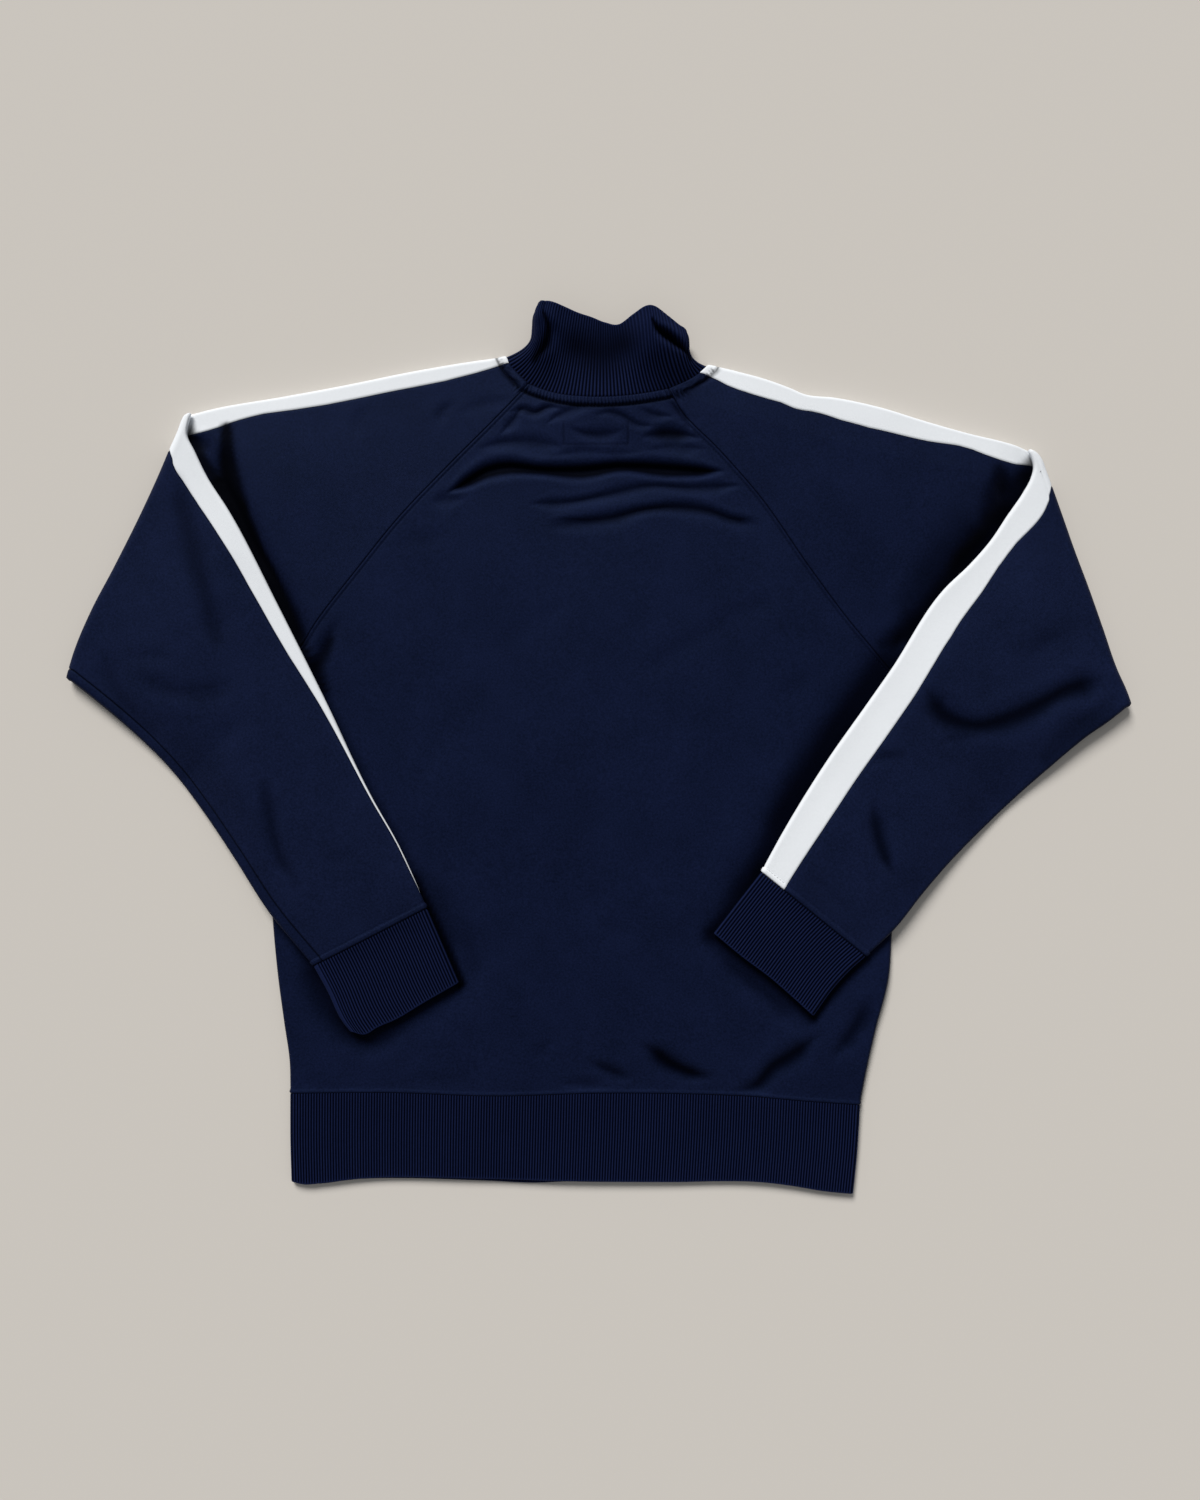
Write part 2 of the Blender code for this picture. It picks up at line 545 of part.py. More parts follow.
# ---------------------------------------------------------------- body
def build_back():
    patch = coons(body_side(RAGLAN_LEFT, SIDE_LEFT), body_side(RAGLAN_RIGHT, SIDE_RIGHT),
                  curve(NECK_ARC), curve(HEM_SEAM))
    ends = np.linspace(0.0, 1.0, 33)
    knots = np.linspace(0.0, 1.0, 81)
    widths = np.array([length_of(patch(v, ends)) for v in knots])
    rim = FLOOR_MID + CLOTH / 2 + SEAM

    def surface(v, w):
        """w runs from -1 to 1; the first and last tenth roll down at the sides."""
        width = np.interp(v, knots, widths)
        rolled = smooth((v - UNDER_ARM) / 0.03)
        turn = np.clip((1.0 - np.abs(w)) / 0.1, 0.0, 1.0) * math.pi / 2
        flat = np.clip((0.9 - np.abs(w)) / 0.9, 0.0, 1.0)
        lead = SEAM / 2 + (CLOTH / 2 - SEAM / 2) * smooth((v - UNDER_ARM + 0.03) / 0.03)
        reach = lead + SIDE_ROLL * (1 - np.cos(turn))
        edge_share = reach / width
        share = edge_share + flat * (0.5 - edge_share)
        q = np.where(w < 0, share, 1.0 - share)
        xy = patch(v, q)
        top = back_mid(xy)
        z = top - rolled * (top - rim) * (1 - np.sin(turn))
        return np.concatenate([xy, z[..., None]], axis=-1)

    raglan_rows = UNDER_ARM * np.array(RAGLAN_SHARES[1:])
    between = [0.024, 0.072, 0.113, 0.13, 0.172, 0.19, 0.245, 0.475]
    lower = [0.55, 0.62, 0.69, 0.76, 0.82, 0.86, 0.895, 0.92, 0.94, 0.96, 0.98, 0.9997]
    rows = np.sort(np.concatenate([[0.0005], raglan_rows, between, lower]))
    side = np.array([1.0, 0.967, 0.933, 0.9])
    middle = np.linspace(0.9, -0.9, 20)[1:-1]
    cols = np.concatenate([-side, -middle, side[::-1]])
    grid = np.repeat(cols[None, :], len(rows), axis=0)
    cloth_wall("back_panel", surface, rows, grid, NAVY, step=(1e-4, 1e-4))


def front_patch(side):
    """The plan of a front panel: t from the neck to the hem, q from the side to the zip."""
    if side < 0:
        raglan, edge, neck, hem = RAGLAN_LEFT, SIDE_LEFT, FRONT_NECK_LEFT, HEM_SEAM[:4]
    else:
        raglan, edge, neck = RAGLAN_RIGHT, SIDE_RIGHT, FRONT_NECK_RIGHT
        hem = (*reversed(HEM_SEAM[3:]),)
    hem_zip = (ZIP_HEM[0] + side * (TAPE_EDGE + SEAM), -290.7)
    corners = [p for p in hem if (p[0] - hem_zip[0]) * side > 20.0]
    return coons(body_side(raglan, edge), curve((neck[-1], hem_zip)), curve(neck),
                 curve((*corners, hem_zip)))


def build_fronts():
    for side, label in ((-1, "left"), (1, "right")):
        patch = front_patch(side)

        def surface(t, q):
            xy = patch(t, q)
            return np.concatenate([xy, np.full(xy.shape[:-1] + (1,), FLOOR_MID)], axis=-1)

        raglan_rows = UNDER_ARM * np.array(RAGLAN_SHARES[1:])
        rows = np.concatenate([[0.001], raglan_rows, [0.68, 0.82, 0.91, 0.96, 0.9995]])
        cols = np.repeat(np.linspace(0.0012, 1.0, 6)[None, :], len(rows), axis=0)
        cloth_wall("front_" + label, surface, rows, cols, NAVY, step=(1e-4, 1e-4))


def build_hem():
    """One band: from the zip to the left side, over the back and on to the zip."""
    half = RIB_WALL / 2
    left = curve((HEM_SEAM[0], (-260.0, -330.0), HEM_BACK_END[0]))
    right = curve((HEM_SEAM[-1], (217.5, -340.0), HEM_BACK_END[-1]))
    over = coons(left, right, curve(HEM_SEAM), curve(HEM_BACK_END))
    width = length_of(HEM_SEAM)
    fronts = []
    for side, edge in ((-1, left), (1, right)):
        zip_seam = (ZIP_HEM[0] + side * (TAPE_EDGE + SEAM), ZIP_HEM[1] + 1.0)
        zip_end = (ZIP_END[0] + side * (TAPE_EDGE + SEAM), ZIP_END[1] - 3.0)
        seam = [p for p in HEM_SEAM if (p[0] - zip_seam[0]) * side > 9.0][::-side]
        end = [p for p in HEM_FRONT_END if (p[0] - zip_end[0]) * side > 9.0][::-side]
        fronts.append((coons(edge, curve((zip_seam, zip_end)), curve((*seam, zip_seam)),
                             curve((*end, zip_end))), length_of((*seam, zip_seam))))
    (under_left, to_zip), (under_right, from_zip) = fronts
    reach = width - 2 * half - 2 * EDGE + 2 * EDGE_ARC

    def surface(v, s):
        """s is 0 at the left side and reach at the right side."""
        s = np.asarray(s, float)
        mirrored = s > reach / 2
        run = np.abs(np.where(mirrored, reach - s, s))
        lower = (s < 0) | (s > reach)
        turn = np.clip(run / EDGE, 0.0, math.pi / 2)
        w = np.where(run < EDGE_ARC, half + EDGE * (1 - np.cos(turn)),
                     half + EDGE + run - EDGE_ARC)
        q = np.where(mirrored, 1.0 - w / width, w / width)
        side = np.where(lower, -1.0, 1.0) * np.sin(turn)
        share = (0.5 + 0.5 * side)[..., None]
        v = np.asarray(v, float) + 0.0 * s
        top = over(v, q)
        base = np.where(mirrored[..., None], under_right(v, w / from_zip),
                        under_left(v, w / to_zip))
        top = np.concatenate([top, back_mid(top)[..., None]], axis=-1)
        base = np.concatenate([base, np.full(base.shape[:-1] + (1,), half)], axis=-1)
        return share * top + (1 - share) * base

    rows = np.array([0.004, 0.978, 0.998])
    thin = np.array([0.8, 1.0, 0.5])
    rolled = half + EDGE - EDGE_ARC
    low_left = -np.linspace(to_zip - rolled, EDGE_ARC, 6)
    low_right = reach + np.linspace(EDGE_ARC, from_zip - rolled, 6)
    ribbed = np.linspace(0.0, reach, 2 * HEM_RIBS + 1)
    turns = np.array([-0.5 * EDGE_ARC]), np.array([reach + 0.5 * EDGE_ARC])
    cols = np.concatenate([low_left, turns[0], ribbed, turns[1], low_right])
    grid = np.repeat(cols[None, :], len(rows), axis=0)
    mid, normal = sample(surface, rows, grid, 1.0, (1e-4, 1e-2))
    on_back = (cols >= 0) & (cols <= reach)
    groove = np.where(on_back, rib_offset(HEM_RIBS, cols / reach + 0.5 / HEM_RIBS, RIB_RISE), 0.0)
    outer = mid + normal * (half - groove)[None, :, None] * thin[:, None, None]
    first = len(low_left) + 1
    last = first + 2 * HEM_RIBS
    keep = np.r_[np.arange(first + 1), first + 1, first + 3, np.arange(first + 8, last - 4, 8),
                 last - 3, last - 1, np.arange(last, len(cols))]
    inner = (mid - normal * half * thin[:, None, None])[:, keep]
    wall("hem_band", outer, inner, NAVY_RIB)


# ---------------------------------------------------------------- collar
# One row for each place round the collar, from the zip on the left, over the back, to the zip.
# base and top are the ends of a rib seen from above, bow moves its middle, z0 to z4 are the
# heights of the wall's middle at the quarters from base to top.
COLLAR = (
    # base_x, base_y, top_x, top_y, bow_x, bow_y, z0, z1, z2, z3, z4
    (-5.3, 236.0, -4.2, 300.0, 0.0, 0.0, 1.3, 3.4, 4.5, 5.2, 5.3),
    (-16.0, 240.7, -14.0, 304.0, 0.0, 0.0, 1.3, 2.4, 3.2, 3.8, 4.2),
    (-36.0, 255.6, -31.0, 320.0, 0.0, 0.0, 1.3, 1.3, 1.6, 2.0, 2.6),
    (-52.2, 282.0, -38.0, 343.0, 0.0, 0.0, 1.3, 1.3, 1.3, 1.6, 2.2),
    (-57.6, 307.0, -43.0, 355.0, 2.0, 0.0, 1.3, 1.3, 1.4, 1.8, 2.4),
    (-66.0, 316.0, -47.5, 361.0, 5.0, 0.0, 1.3, 1.3, 1.7, 2.4, 3.0),
    (-73.4, 323.6, -51.8, 366.0, 8.0, 0.0, 1.5, 2.6, 4.2, 5.6, 6.4),
    (-75.4, 325.6, -53.4, 369.0, 7.8, 0.0, 3.3, 5.4, 8.4, 11.0, 12.2),
    (-73.6, 323.2, -51.4, 371.8, 8.4, 0.4, 5.1, 9.0, 14.0, 19.0, 20.2),
    (-65.4, 313.6, -44.2, 374.7, 7.0, 1.0, 5.5, 13.4, 20.4, 25.5, 26.0),
    (-57.0, 306.2, -37.5, 372.0, 5.0, 1.0, 6.0, 13.5, 20.5, 25.5, 26.5),
    (-46.0, 301.4, -29.0, 368.5, 3.0, 0.0, 7.4, 12.0, 16.0, 20.5, 23.0),
    (-30.0, 296.9, -18.0, 363.5, 1.0, 0.0, 10.2, 11.4, 12.2, 15.4, 18.5),
    (-13.0, 294.8, -6.5, 359.5, 0.0, 0.0, 12.6, 11.4, 10.4, 12.0, 15.0),
    (7.0, 294.4, 5.5, 355.2, 0.0, 0.0, 13.4, 11.6, 9.8, 10.4, 13.0),
    (26.0, 296.0, 17.5, 354.6, 0.0, 0.0, 11.4, 11.6, 11.8, 13.0, 15.2),
    (40.0, 298.8, 28.5, 362.0, -1.5, 0.0, 8.8, 12.6, 16.5, 19.8, 20.6),
    (51.0, 301.4, 38.5, 369.8, -3.0, 0.5, 6.7, 13.4, 20.4, 24.6, 25.0),
    (61.5, 304.6, 46.0, 370.6, -3.5, 0.5, 5.6, 13.8, 21.0, 23.0, 24.6),
    (71.0, 308.6, 55.0, 363.5, -2.0, 0.0, 5.2, 12.8, 19.5, 13.0, 21.5),
    (78.2, 313.6, 65.0, 354.5, -1.5, 0.0, 5.0, 10.5, 15.0, 9.4, 17.0),
    (82.6, 317.8, 72.4, 347.8, -4.0, 0.0, 4.9, 8.4, 11.0, 8.4, 13.4),
    (84.0, 319.2, 74.8, 344.6, -4.6, 0.0, 3.2, 5.2, 6.8, 6.4, 8.8),
    (82.0, 317.6, 74.0, 341.6, -4.2, 0.0, 1.5, 2.4, 3.2, 3.8, 4.8),
    (72.5, 309.6, 70.0, 336.4, -2.5, 0.0, 1.3, 1.3, 1.6, 2.2, 3.0),
    (56.6, 302.9, 58.0, 331.0, -1.0, 0.0, 1.3, 1.3, 1.4, 1.8, 2.4),
    (53.0, 280.0, 51.0, 324.0, 0.0, 0.0, 1.3, 1.3, 1.4, 1.8, 2.4),
    (42.4, 255.0, 38.0, 314.0, 0.0, 0.0, 1.3, 1.3, 1.6, 2.0, 2.6),
    (24.2, 240.7, 23.0, 303.5, 0.0, 0.0, 1.3, 2.4, 3.2, 3.8, 4.2),
    (12.2, 236.0, 13.3, 300.0, 0.0, 0.0, 1.3, 3.4, 4.5, 5.2, 5.3),
)
COLLAR_TOP_ROW = 7     # the row of the left side fold
COLLAR_LAST_TOP = 22   # the row of the right side fold


def collar_surface():
    table = np.array(COLLAR)
    base = table[:, 0:2]
    step = np.linalg.norm(np.diff(base, axis=0), axis=1)
    knots = np.concatenate([[0.0], np.cumsum(step)])
    slope = np.gradient(table, knots, axis=0)

    def row_at(u):
        i = np.clip(np.searchsorted(knots, u, side="right") - 1, 0, len(table) - 2)
        span = knots[i + 1] - knots[i]
        k = ((u - knots[i]) / span)[..., None]
        span = span[..., None]
        start = (2 * k**3 - 3 * k**2 + 1) * table[i] + (k**3 - 2 * k**2 + k) * span * slope[i]
        end = (3 * k**2 - 2 * k**3) * table[i + 1] + (k**3 - k**2) * span * slope[i + 1]
        return start + end

    def surface(v, u):
        v, u = np.broadcast_arrays(np.asarray(v, float), np.asarray(u, float))
        row = row_at(u)
        bow = (4 * v * (1 - v))[..., None]
        xy = row[..., 0:2] * (1 - v)[..., None] + row[..., 2:4] * v[..., None]
        xy = xy + bow * row[..., 4:6]
        place = np.clip(v, 0.0, 1.0) * 4
        k = np.clip(np.floor(place).astype(int), 0, 3)
        f = place - k
        heights = row[..., 6:11]
        def z(n):
            return np.take_along_axis(heights, np.clip(n, 0, 4)[..., None], axis=-1)[..., 0]
        m0 = (z(k + 1) - z(k - 1)) / np.where(k > 0, 2, 1)
        m1 = (z(k + 2) - z(k)) / np.where(k < 3, 2, 1)
        h = ((2 * f**3 - 3 * f**2 + 1) * z(k) + (f**3 - 2 * f**2 + f) * m0
             + (3 * f**2 - 2 * f**3) * z(k + 1) + (f**3 - f**2) * m1)
        h = np.maximum(h, RIB_WALL / 2)
        return np.concatenate([xy, h[..., None]], axis=-1)
    return surface, knots


def build_collar():
    half = RIB_WALL / 2
    surface, knots = collar_surface()
    rows = np.array([0.006, 0.18, 0.36, 0.54, 0.7, 0.86, 0.975, 0.998])
    thin = np.array([0.7, 0.9, 1.0, 1.0, 1.0, 1.0, 1.0, 0.5])
    first, last = knots[COLLAR_TOP_ROW], knots[COLLAR_LAST_TOP]
    ribbed = np.linspace(first, last, 2 * COLLAR_RIBS + 1)
    before = np.concatenate([np.linspace(k, n, 3)[:-1] for k, n in
                             zip(knots[:COLLAR_TOP_ROW], knots[1:COLLAR_TOP_ROW + 1])])
    after = np.concatenate([np.linspace(k, n, 3)[1:] for k, n in
                            zip(knots[COLLAR_LAST_TOP:-1], knots[COLLAR_LAST_TOP + 1:])])
    cols = np.concatenate([before, ribbed, after])
    grid = np.repeat(cols[None, :], len(rows), axis=0)
    mid, normal = sample(surface, rows, grid, 1.0, (1e-3, 1e-2))
    share = (cols - first) / (last - first)
    on_back = (share >= 0) & (share <= 1)
    groove = np.where(on_back, rib_offset(COLLAR_RIBS, share + 0.5 / COLLAR_RIBS, RIB_RISE), 0.0)
    outer = mid + normal * (half - groove)[None, :, None] * thin[:, None, None]
    start, stop = len(before), len(before) + 2 * COLLAR_RIBS
    keep = np.r_[np.arange(start + 1), start + 2, np.arange(start + 4, stop - 3, 3), stop - 2,
                 np.arange(stop, len(cols))]
    inner = (mid - normal * half * thin[:, None, None])[:, keep]
    wall("collar", outer, inner, NAVY_RIB)


# ---------------------------------------------------------------- zip
def build_zip_tapes():
    """Each tape with its half of the chain: an L section carried along the zip."""
    path = np.array([ZIP_END, ZIP_HEM, (0.6, 168.0), ZIP_NECK, (3.8, 260.0), (4.3, 286.0),
                     ZIP_TOP])
    lift = (CHAIN_LIFT, CHAIN_LIFT, CHAIN_LIFT, CHAIN_LIFT, 3.3, CHAIN_LIFT_TOP, CHAIN_LIFT_TOP)
    for side, label in ((-1, "left"), (1, "right")):
        section = ((SEAM / 2, 0.0), (CHAIN_HALF, 0.0), (TAPE_EDGE, 0.0), (TAPE_EDGE, TAPE_HIGH),
                   (CHAIN_HALF + 0.3, TAPE_HIGH), (CHAIN_HALF, CHAIN_HIGH),
                   (SEAM / 2, CHAIN_HIGH))
        bm = bmesh.new()
        rings = [[bm.verts.new(((x + side * across) * MM, y * MM, (z + up) * MM))
                  for across, up in section]
                 for (x, y), z in zip(path, lift)]
        for one, two in zip(rings, rings[1:]):
            for k in range(len(section)):
                n = (k + 1) % len(section)
                bm.faces.new((one[k], one[n], two[n], two[k]))
        bm.faces.new(rings[0])
        bm.faces.new(rings[-1])
        finish(bm, "zip_tape_" + label, ZIP_CLOTH)


SLIDER_WIDE = 9.0
SLIDER_LONG = 12.0
SLIDER_PLATE = 1.1
SLIDER_GAP = 0.3                 # over and under the chain
PLATE_LOW = CHAIN_LIFT_TOP - SLIDER_GAP - SLIDER_PLATE   # underside of the slider's lower plate
PLATE_HIGH = CHAIN_LIFT_TOP + CHAIN_HIGH + SLIDER_GAP
BAR_DROP = 0.85                  # from the plate's underside to the pull's bar
BAR_HALF = 0.5
ARCH_HALF = 2.2                  # half the crown's length along the zip
ARCH_WALL = 0.8
ARCH_DEPTH = 2.35
SLIDER_MID = (4.4, 293.0)
PULL_LONG = 26.0
PULL_WIDE = 6.4
PULL_EYE = 3.3                   # length of the eye from the bar's axis


def extruded(name, outline, low, high, axis, look):
    """A closed solid from an outline of (a, b) points, carried from low to high.
    axis 0 takes a and b as y and z, axis 2 takes them as x and y."""
    bm = bmesh.new()
    place = (lambda a, b, c: (c, a, b)) if axis == 0 else (lambda a, b, c: (a, b, c))
    face = bm.faces.new([bm.verts.new([k * MM for k in place(a, b, low)]) for a, b in outline])
    grown = bmesh.ops.extrude_face_region(bm, geom=[face])
    shift = [k * MM for k in place(0.0, 0.0, high - low)]
    bmesh.ops.translate(bm, verts=[v for v in grown["geom"] if isinstance(v, bmesh.types.BMVert)],
                        vec=shift)
    return finish(bm, name, look)


def build_slider():
    """Two plates round the chain, joined past its end, with the crown that holds the pull."""
    x, y = SLIDER_MID
    near, far = y - SLIDER_LONG / 2, y + SLIDER_LONG / 2
    nose = ZIP_TOP[1] + SEAM
    top = PLATE_HIGH + SLIDER_PLATE
    body = extruded("zip_slider", (
        (near, PLATE_LOW), (far + 1.5, PLATE_LOW), (far + 2.5, PLATE_LOW + 1.0),
        (far + 2.5, top - 1.0), (far + 1.5, top), (near, top), (near, PLATE_HIGH),
        (nose, PLATE_HIGH), (nose, PLATE_LOW + SLIDER_PLATE), (near, PLATE_LOW + SLIDER_PLATE)),
        x - SLIDER_WIDE / 2, x + SLIDER_WIDE / 2, 0, METAL)
    low = PLATE_LOW - ARCH_DEPTH
    hole = ARCH_HALF - ARCH_WALL
    overlap = 0.2
    crown = extruded("crown", (
        (y - ARCH_HALF, PLATE_LOW + overlap), (y - ARCH_HALF, low + 0.5),
        (y - ARCH_HALF + 0.5, low), (y + ARCH_HALF - 0.5, low), (y + ARCH_HALF, low + 0.5),
        (y + ARCH_HALF, PLATE_LOW + overlap), (y + hole, PLATE_LOW + overlap),
        (y + hole, low + ARCH_WALL), (y - hole, low + ARCH_WALL), (y - hole, PLATE_LOW + overlap)),
        x - 1.0, x + 1.0, 0, METAL)
    crown.hide_render = True
    crown.display_type = "WIRE"
    union = body.modifiers.new("crown", "BOOLEAN")
    union.operation = "UNION"
    union.solver = "EXACT"
    union.object = crown


def build_pull():
    """The pull tab: a flat plate with an eye, whose end bar turns in the crown."""
    x, y = SLIDER_MID
    mid = PLATE_LOW - BAR_DROP
    wide, neck = PULL_WIDE / 2, 2.6
    end = y - PULL_LONG
    plate = extruded("zip_pull", (
        (x - neck, y + BAR_HALF), (x - neck, y - 6.0), (x - wide, y - 9.0), (x - wide, end + 1.5),
        (x - wide + 1.5, end), (x + wide - 1.5, end), (x + wide, end + 1.5), (x + wide, y - 9.0),
        (x + neck, y - 6.0), (x + neck, y + BAR_HALF)),
        mid - BAR_HALF, mid + BAR_HALF, 2, METAL)
    eye = extruded("eye", ((x - 1.5, y - BAR_HALF), (x + 1.5, y - BAR_HALF),
                           (x + 1.5, y - PULL_EYE), (x - 1.5, y - PULL_EYE)),
                   mid - 2.0, mid + 2.0, 2, METAL)
    eye.hide_render = True
    eye.display_type = "WIRE"
    cut = plate.modifiers.new("eye", "BOOLEAN")
    cut.operation = "DIFFERENCE"
    cut.solver = "EXACT"
    cut.object = eye


def main():
    for obj in list(bpy.data.objects):
        bpy.data.objects.remove(obj)
    build_back()
    build_fronts()
    build_hem()
    left, right = Sleeve(**LEFT_INPUT), Sleeve(**RIGHT_INPUT)
    build_sleeve("left", left, STRIPE_LEFT, seam_on_front=10.0)
    build_sleeve("right", right, STRIPE_RIGHT, seam_on_front=-4.0)
    build_cuff("left", left)
    build_cuff("right", right)
    build_collar()
    build_zip_tapes()
    build_slider()
    build_pull()


main()
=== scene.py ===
# %% [markdown]
# # A track jacket on a studio floor
#
# The jacket lies face down, with its back up and both sleeves folded over the back. This
# lesson dresses the plain frame: it cuts a fine sheet of cloth for every panel, drapes it
# along the same folds, knits the ribs, sews the seams and lights the result. Plans and
# heights are in millimetres until a mesh is made, because tailors measure that way.

# %% Load the frame
import math

import bmesh
import bpy
import numpy as np
from mathutils import Matrix, Vector


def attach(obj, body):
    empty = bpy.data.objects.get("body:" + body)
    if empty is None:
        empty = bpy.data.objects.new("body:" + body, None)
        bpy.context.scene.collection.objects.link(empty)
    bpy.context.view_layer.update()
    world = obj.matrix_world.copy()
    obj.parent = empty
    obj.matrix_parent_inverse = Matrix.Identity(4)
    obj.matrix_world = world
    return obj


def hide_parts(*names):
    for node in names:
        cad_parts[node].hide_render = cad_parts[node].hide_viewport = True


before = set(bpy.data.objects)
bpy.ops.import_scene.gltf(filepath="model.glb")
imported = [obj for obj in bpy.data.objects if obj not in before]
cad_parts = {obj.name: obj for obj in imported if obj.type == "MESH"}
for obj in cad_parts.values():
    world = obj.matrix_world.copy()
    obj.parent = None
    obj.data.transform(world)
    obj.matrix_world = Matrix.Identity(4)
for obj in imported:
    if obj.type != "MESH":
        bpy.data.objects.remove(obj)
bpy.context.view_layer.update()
MM = 0.001

# %% [markdown]
# Three helpers save repetition: one puts an object into the scene, one makes a finish and
# sets the numbers of its shader, and one turns a bmesh into a mesh with a finish.


# %% Helpers
def add_object(name, data):
    thing = bpy.data.objects.new(name, data)
    bpy.context.collection.objects.link(thing)
    return thing


def new_look(name, values):
    look = bpy.data.materials.new(name)
    look.use_nodes = True
    for socket, value in values.items():
        look.node_tree.nodes["Principled BSDF"].inputs[socket].default_value = value
    return look


def to_mesh(bm, name, look):
    mesh = bpy.data.meshes.new(name)
    bm.to_mesh(mesh)
    bm.free()
    mesh.materials.append(look)
    return mesh


# %% [markdown]
# ## Camera, floor and light
#
# The jacket is seen from straight above, as a shopper would see it laid out, so the camera
# looks down and needs no turn. A long lens would flatten it further, but a lens of 31 mm from
# 1.1 m up keeps the slight spread that a hand-held camera gives.

# %% Camera
camera = add_object("camera", bpy.data.cameras.new("camera"))
camera.location = (0.00084, -0.00168, 1.106)
camera.data.lens = 31.43
camera.data.sensor_width = 36.0
camera.data.clip_end = 20.0
bpy.context.scene.camera = camera
print("camera at", tuple(camera.location), "lens", camera.data.lens)

# %% [markdown]
# The floor is one plain pale plane just under the cloth. One broad soft lamp stands far off
# beyond the collar and a little to the left, so that creases throw a shade; it is a sun lamp
# with a wide angle, because its light is as strong on the hem as on the collar. A pale sky
# fills the shadows. The Standard view shows the finishes in their own colours.

# %% Floor and lamps
FLOOR_DROP = 0.0002    # how far the floor lies under the cloth, in metres
floor_look = new_look("pale_floor", {"Base Color": (0.622, 0.588, 0.546, 1.0),
                                     "Roughness": 0.9, "Specular IOR Level": 0.1})
bm = bmesh.new()
bmesh.ops.create_grid(bm, x_segments=1, y_segments=1, size=4.0)
bmesh.ops.translate(bm, verts=bm.verts, vec=(0.0, 0.0, -FLOOR_DROP))
floor = add_object("floor", to_mesh(bm, "floor", floor_look))
LIGHT_ELEVATION = math.radians(38.0)
LIGHT_SIDE = np.array((-0.35, 0.937))     # where the light comes from, in plan
key = add_object("key", bpy.data.lights.new("key", "SUN"))
key.data.angle = math.radians(26.0)
key.data.energy = 3.55
key.data.color = (1.0, 0.985, 0.96)
key.rotation_euler = (math.pi / 2 - LIGHT_ELEVATION, 0.0,
                      math.atan2(LIGHT_SIDE[0], -LIGHT_SIDE[1]))
world = bpy.data.worlds.new("sky")
world.use_nodes = True
sky = world.node_tree.nodes["Background"].inputs
sky["Color"].default_value = (0.95, 0.975, 1.0, 1.0)
sky["Strength"].default_value = 0.26
bpy.context.scene.world = world
bpy.context.scene.view_settings.view_transform = "Standard"

# %% [markdown]
# ## The pattern, as curves and heights
#
# Every panel is bounded by a few curves that a cutter would recognise: neck, raglan seams,
# sides, hem. A Coons patch fills the space between four such curves, so one formula gives
# the plan of each panel. A second formula gives its height over the floor.


# %% Curves
def smooth(x):
    x = np.clip(x, 0.0, 1.0)
    return x * x * (3.0 - 2.0 * x)


def valley(away, reach):
    return np.exp(-(away / reach) ** 2)


def steps(*spans):
    """Places over spans of (start, end, count), where a shared end counts once."""
    parts = [np.linspace(*span) for span in spans]
    return np.concatenate([part[:-1] for part in parts[:-1]] + parts[-1:])


def raised(xy, z):
    """Places in plan as points in space, at one height or at a height each."""
    return np.concatenate([xy, np.broadcast_to(z, xy.shape[:-1])[..., None]], axis=-1)


def hermite(points, knots):
    """A smooth curve through rows of points at the given knots."""
    pts = np.asarray(points, float)
    slope = np.gradient(pts, knots, axis=0)

    def at(t):
        t = np.clip(np.asarray(t, float), knots[0], knots[-1])
        i = np.clip(np.searchsorted(knots, t, side="right") - 1, 0, len(pts) - 2)
        span = (knots[i + 1] - knots[i])[..., None]
        u = (t - knots[i])[..., None] / span
        start = (2 * u**3 - 3 * u**2 + 1) * pts[i] + (u**3 - 2 * u**2 + u) * span * slope[i]
        end = (3 * u**2 - 2 * u**3) * pts[i + 1] + (u**3 - u**2) * span * slope[i + 1]
        return start + end
    return at


def along(points):
    """Length along a row of points, up to each of them."""
    step = np.linalg.norm(np.diff(np.asarray(points, float), axis=0), axis=1)
    return np.concatenate([[0.0], np.cumsum(step)])


def curve(points):
    """A smooth curve whose parameter runs from 0 to 1 by length."""
    run = along(points)
    return hermite(points, run / run[-1])


def traced(points, count):
    """Places along the smooth curve through points, from end to end."""
    return curve(points)(np.linspace(0.0, 1.0, count))


def joined(one, two, corner):
    """Two curves as one, which meet where the parameter is corner."""
    def at(t):
        t = np.asarray(t, float)
        return np.where((t < corner)[..., None], one(t / corner), two((t - corner) / (1 - corner)))
    return at


def coons(first, last, start, end):
    """A patch between four curves: first and last run along t, start and end along q."""
    def at(t, q):
        t, q = np.broadcast_arrays(np.asarray(t, float), np.asarray(q, float))
        a, b = t[..., None], q[..., None]
        ruled = (1 - b) * first(t) + b * last(t) + (1 - a) * start(q) + a * end(q)
        corners = ((1 - a) * ((1 - b) * start(0.0) + b * start(1.0))
                   + a * ((1 - b) * end(0.0) + b * end(1.0)))
        return ruled - corners
    return at


def nearest(xy, line):
    """The step from the nearest place on a line to each point, and the length up to there."""
    line = np.asarray(line, float)
    run = along(line)
    best = np.full(xy.shape[:-1], 1e9)
    step = np.zeros(xy.shape)
    place = np.zeros(xy.shape[:-1])
    for k in range(len(line) - 1):
        a, b = line[k], line[k + 1]
        share = np.clip(((xy - a) @ (b - a)) / ((b - a) @ (b - a)), 0.0, 1.0)
        offset = xy - (a + share[..., None] * (b - a))
        away = np.linalg.norm(offset, axis=-1)
        closer = away < best
        best = np.where(closer, away, best)
        step = np.where(closer[..., None], offset, step)
        place = np.where(closer, run[k] + share * (run[k + 1] - run[k]), place)
    return step, place


def distance(xy, line):
    step, place = nearest(xy, line)
    return np.linalg.norm(step, axis=-1), place


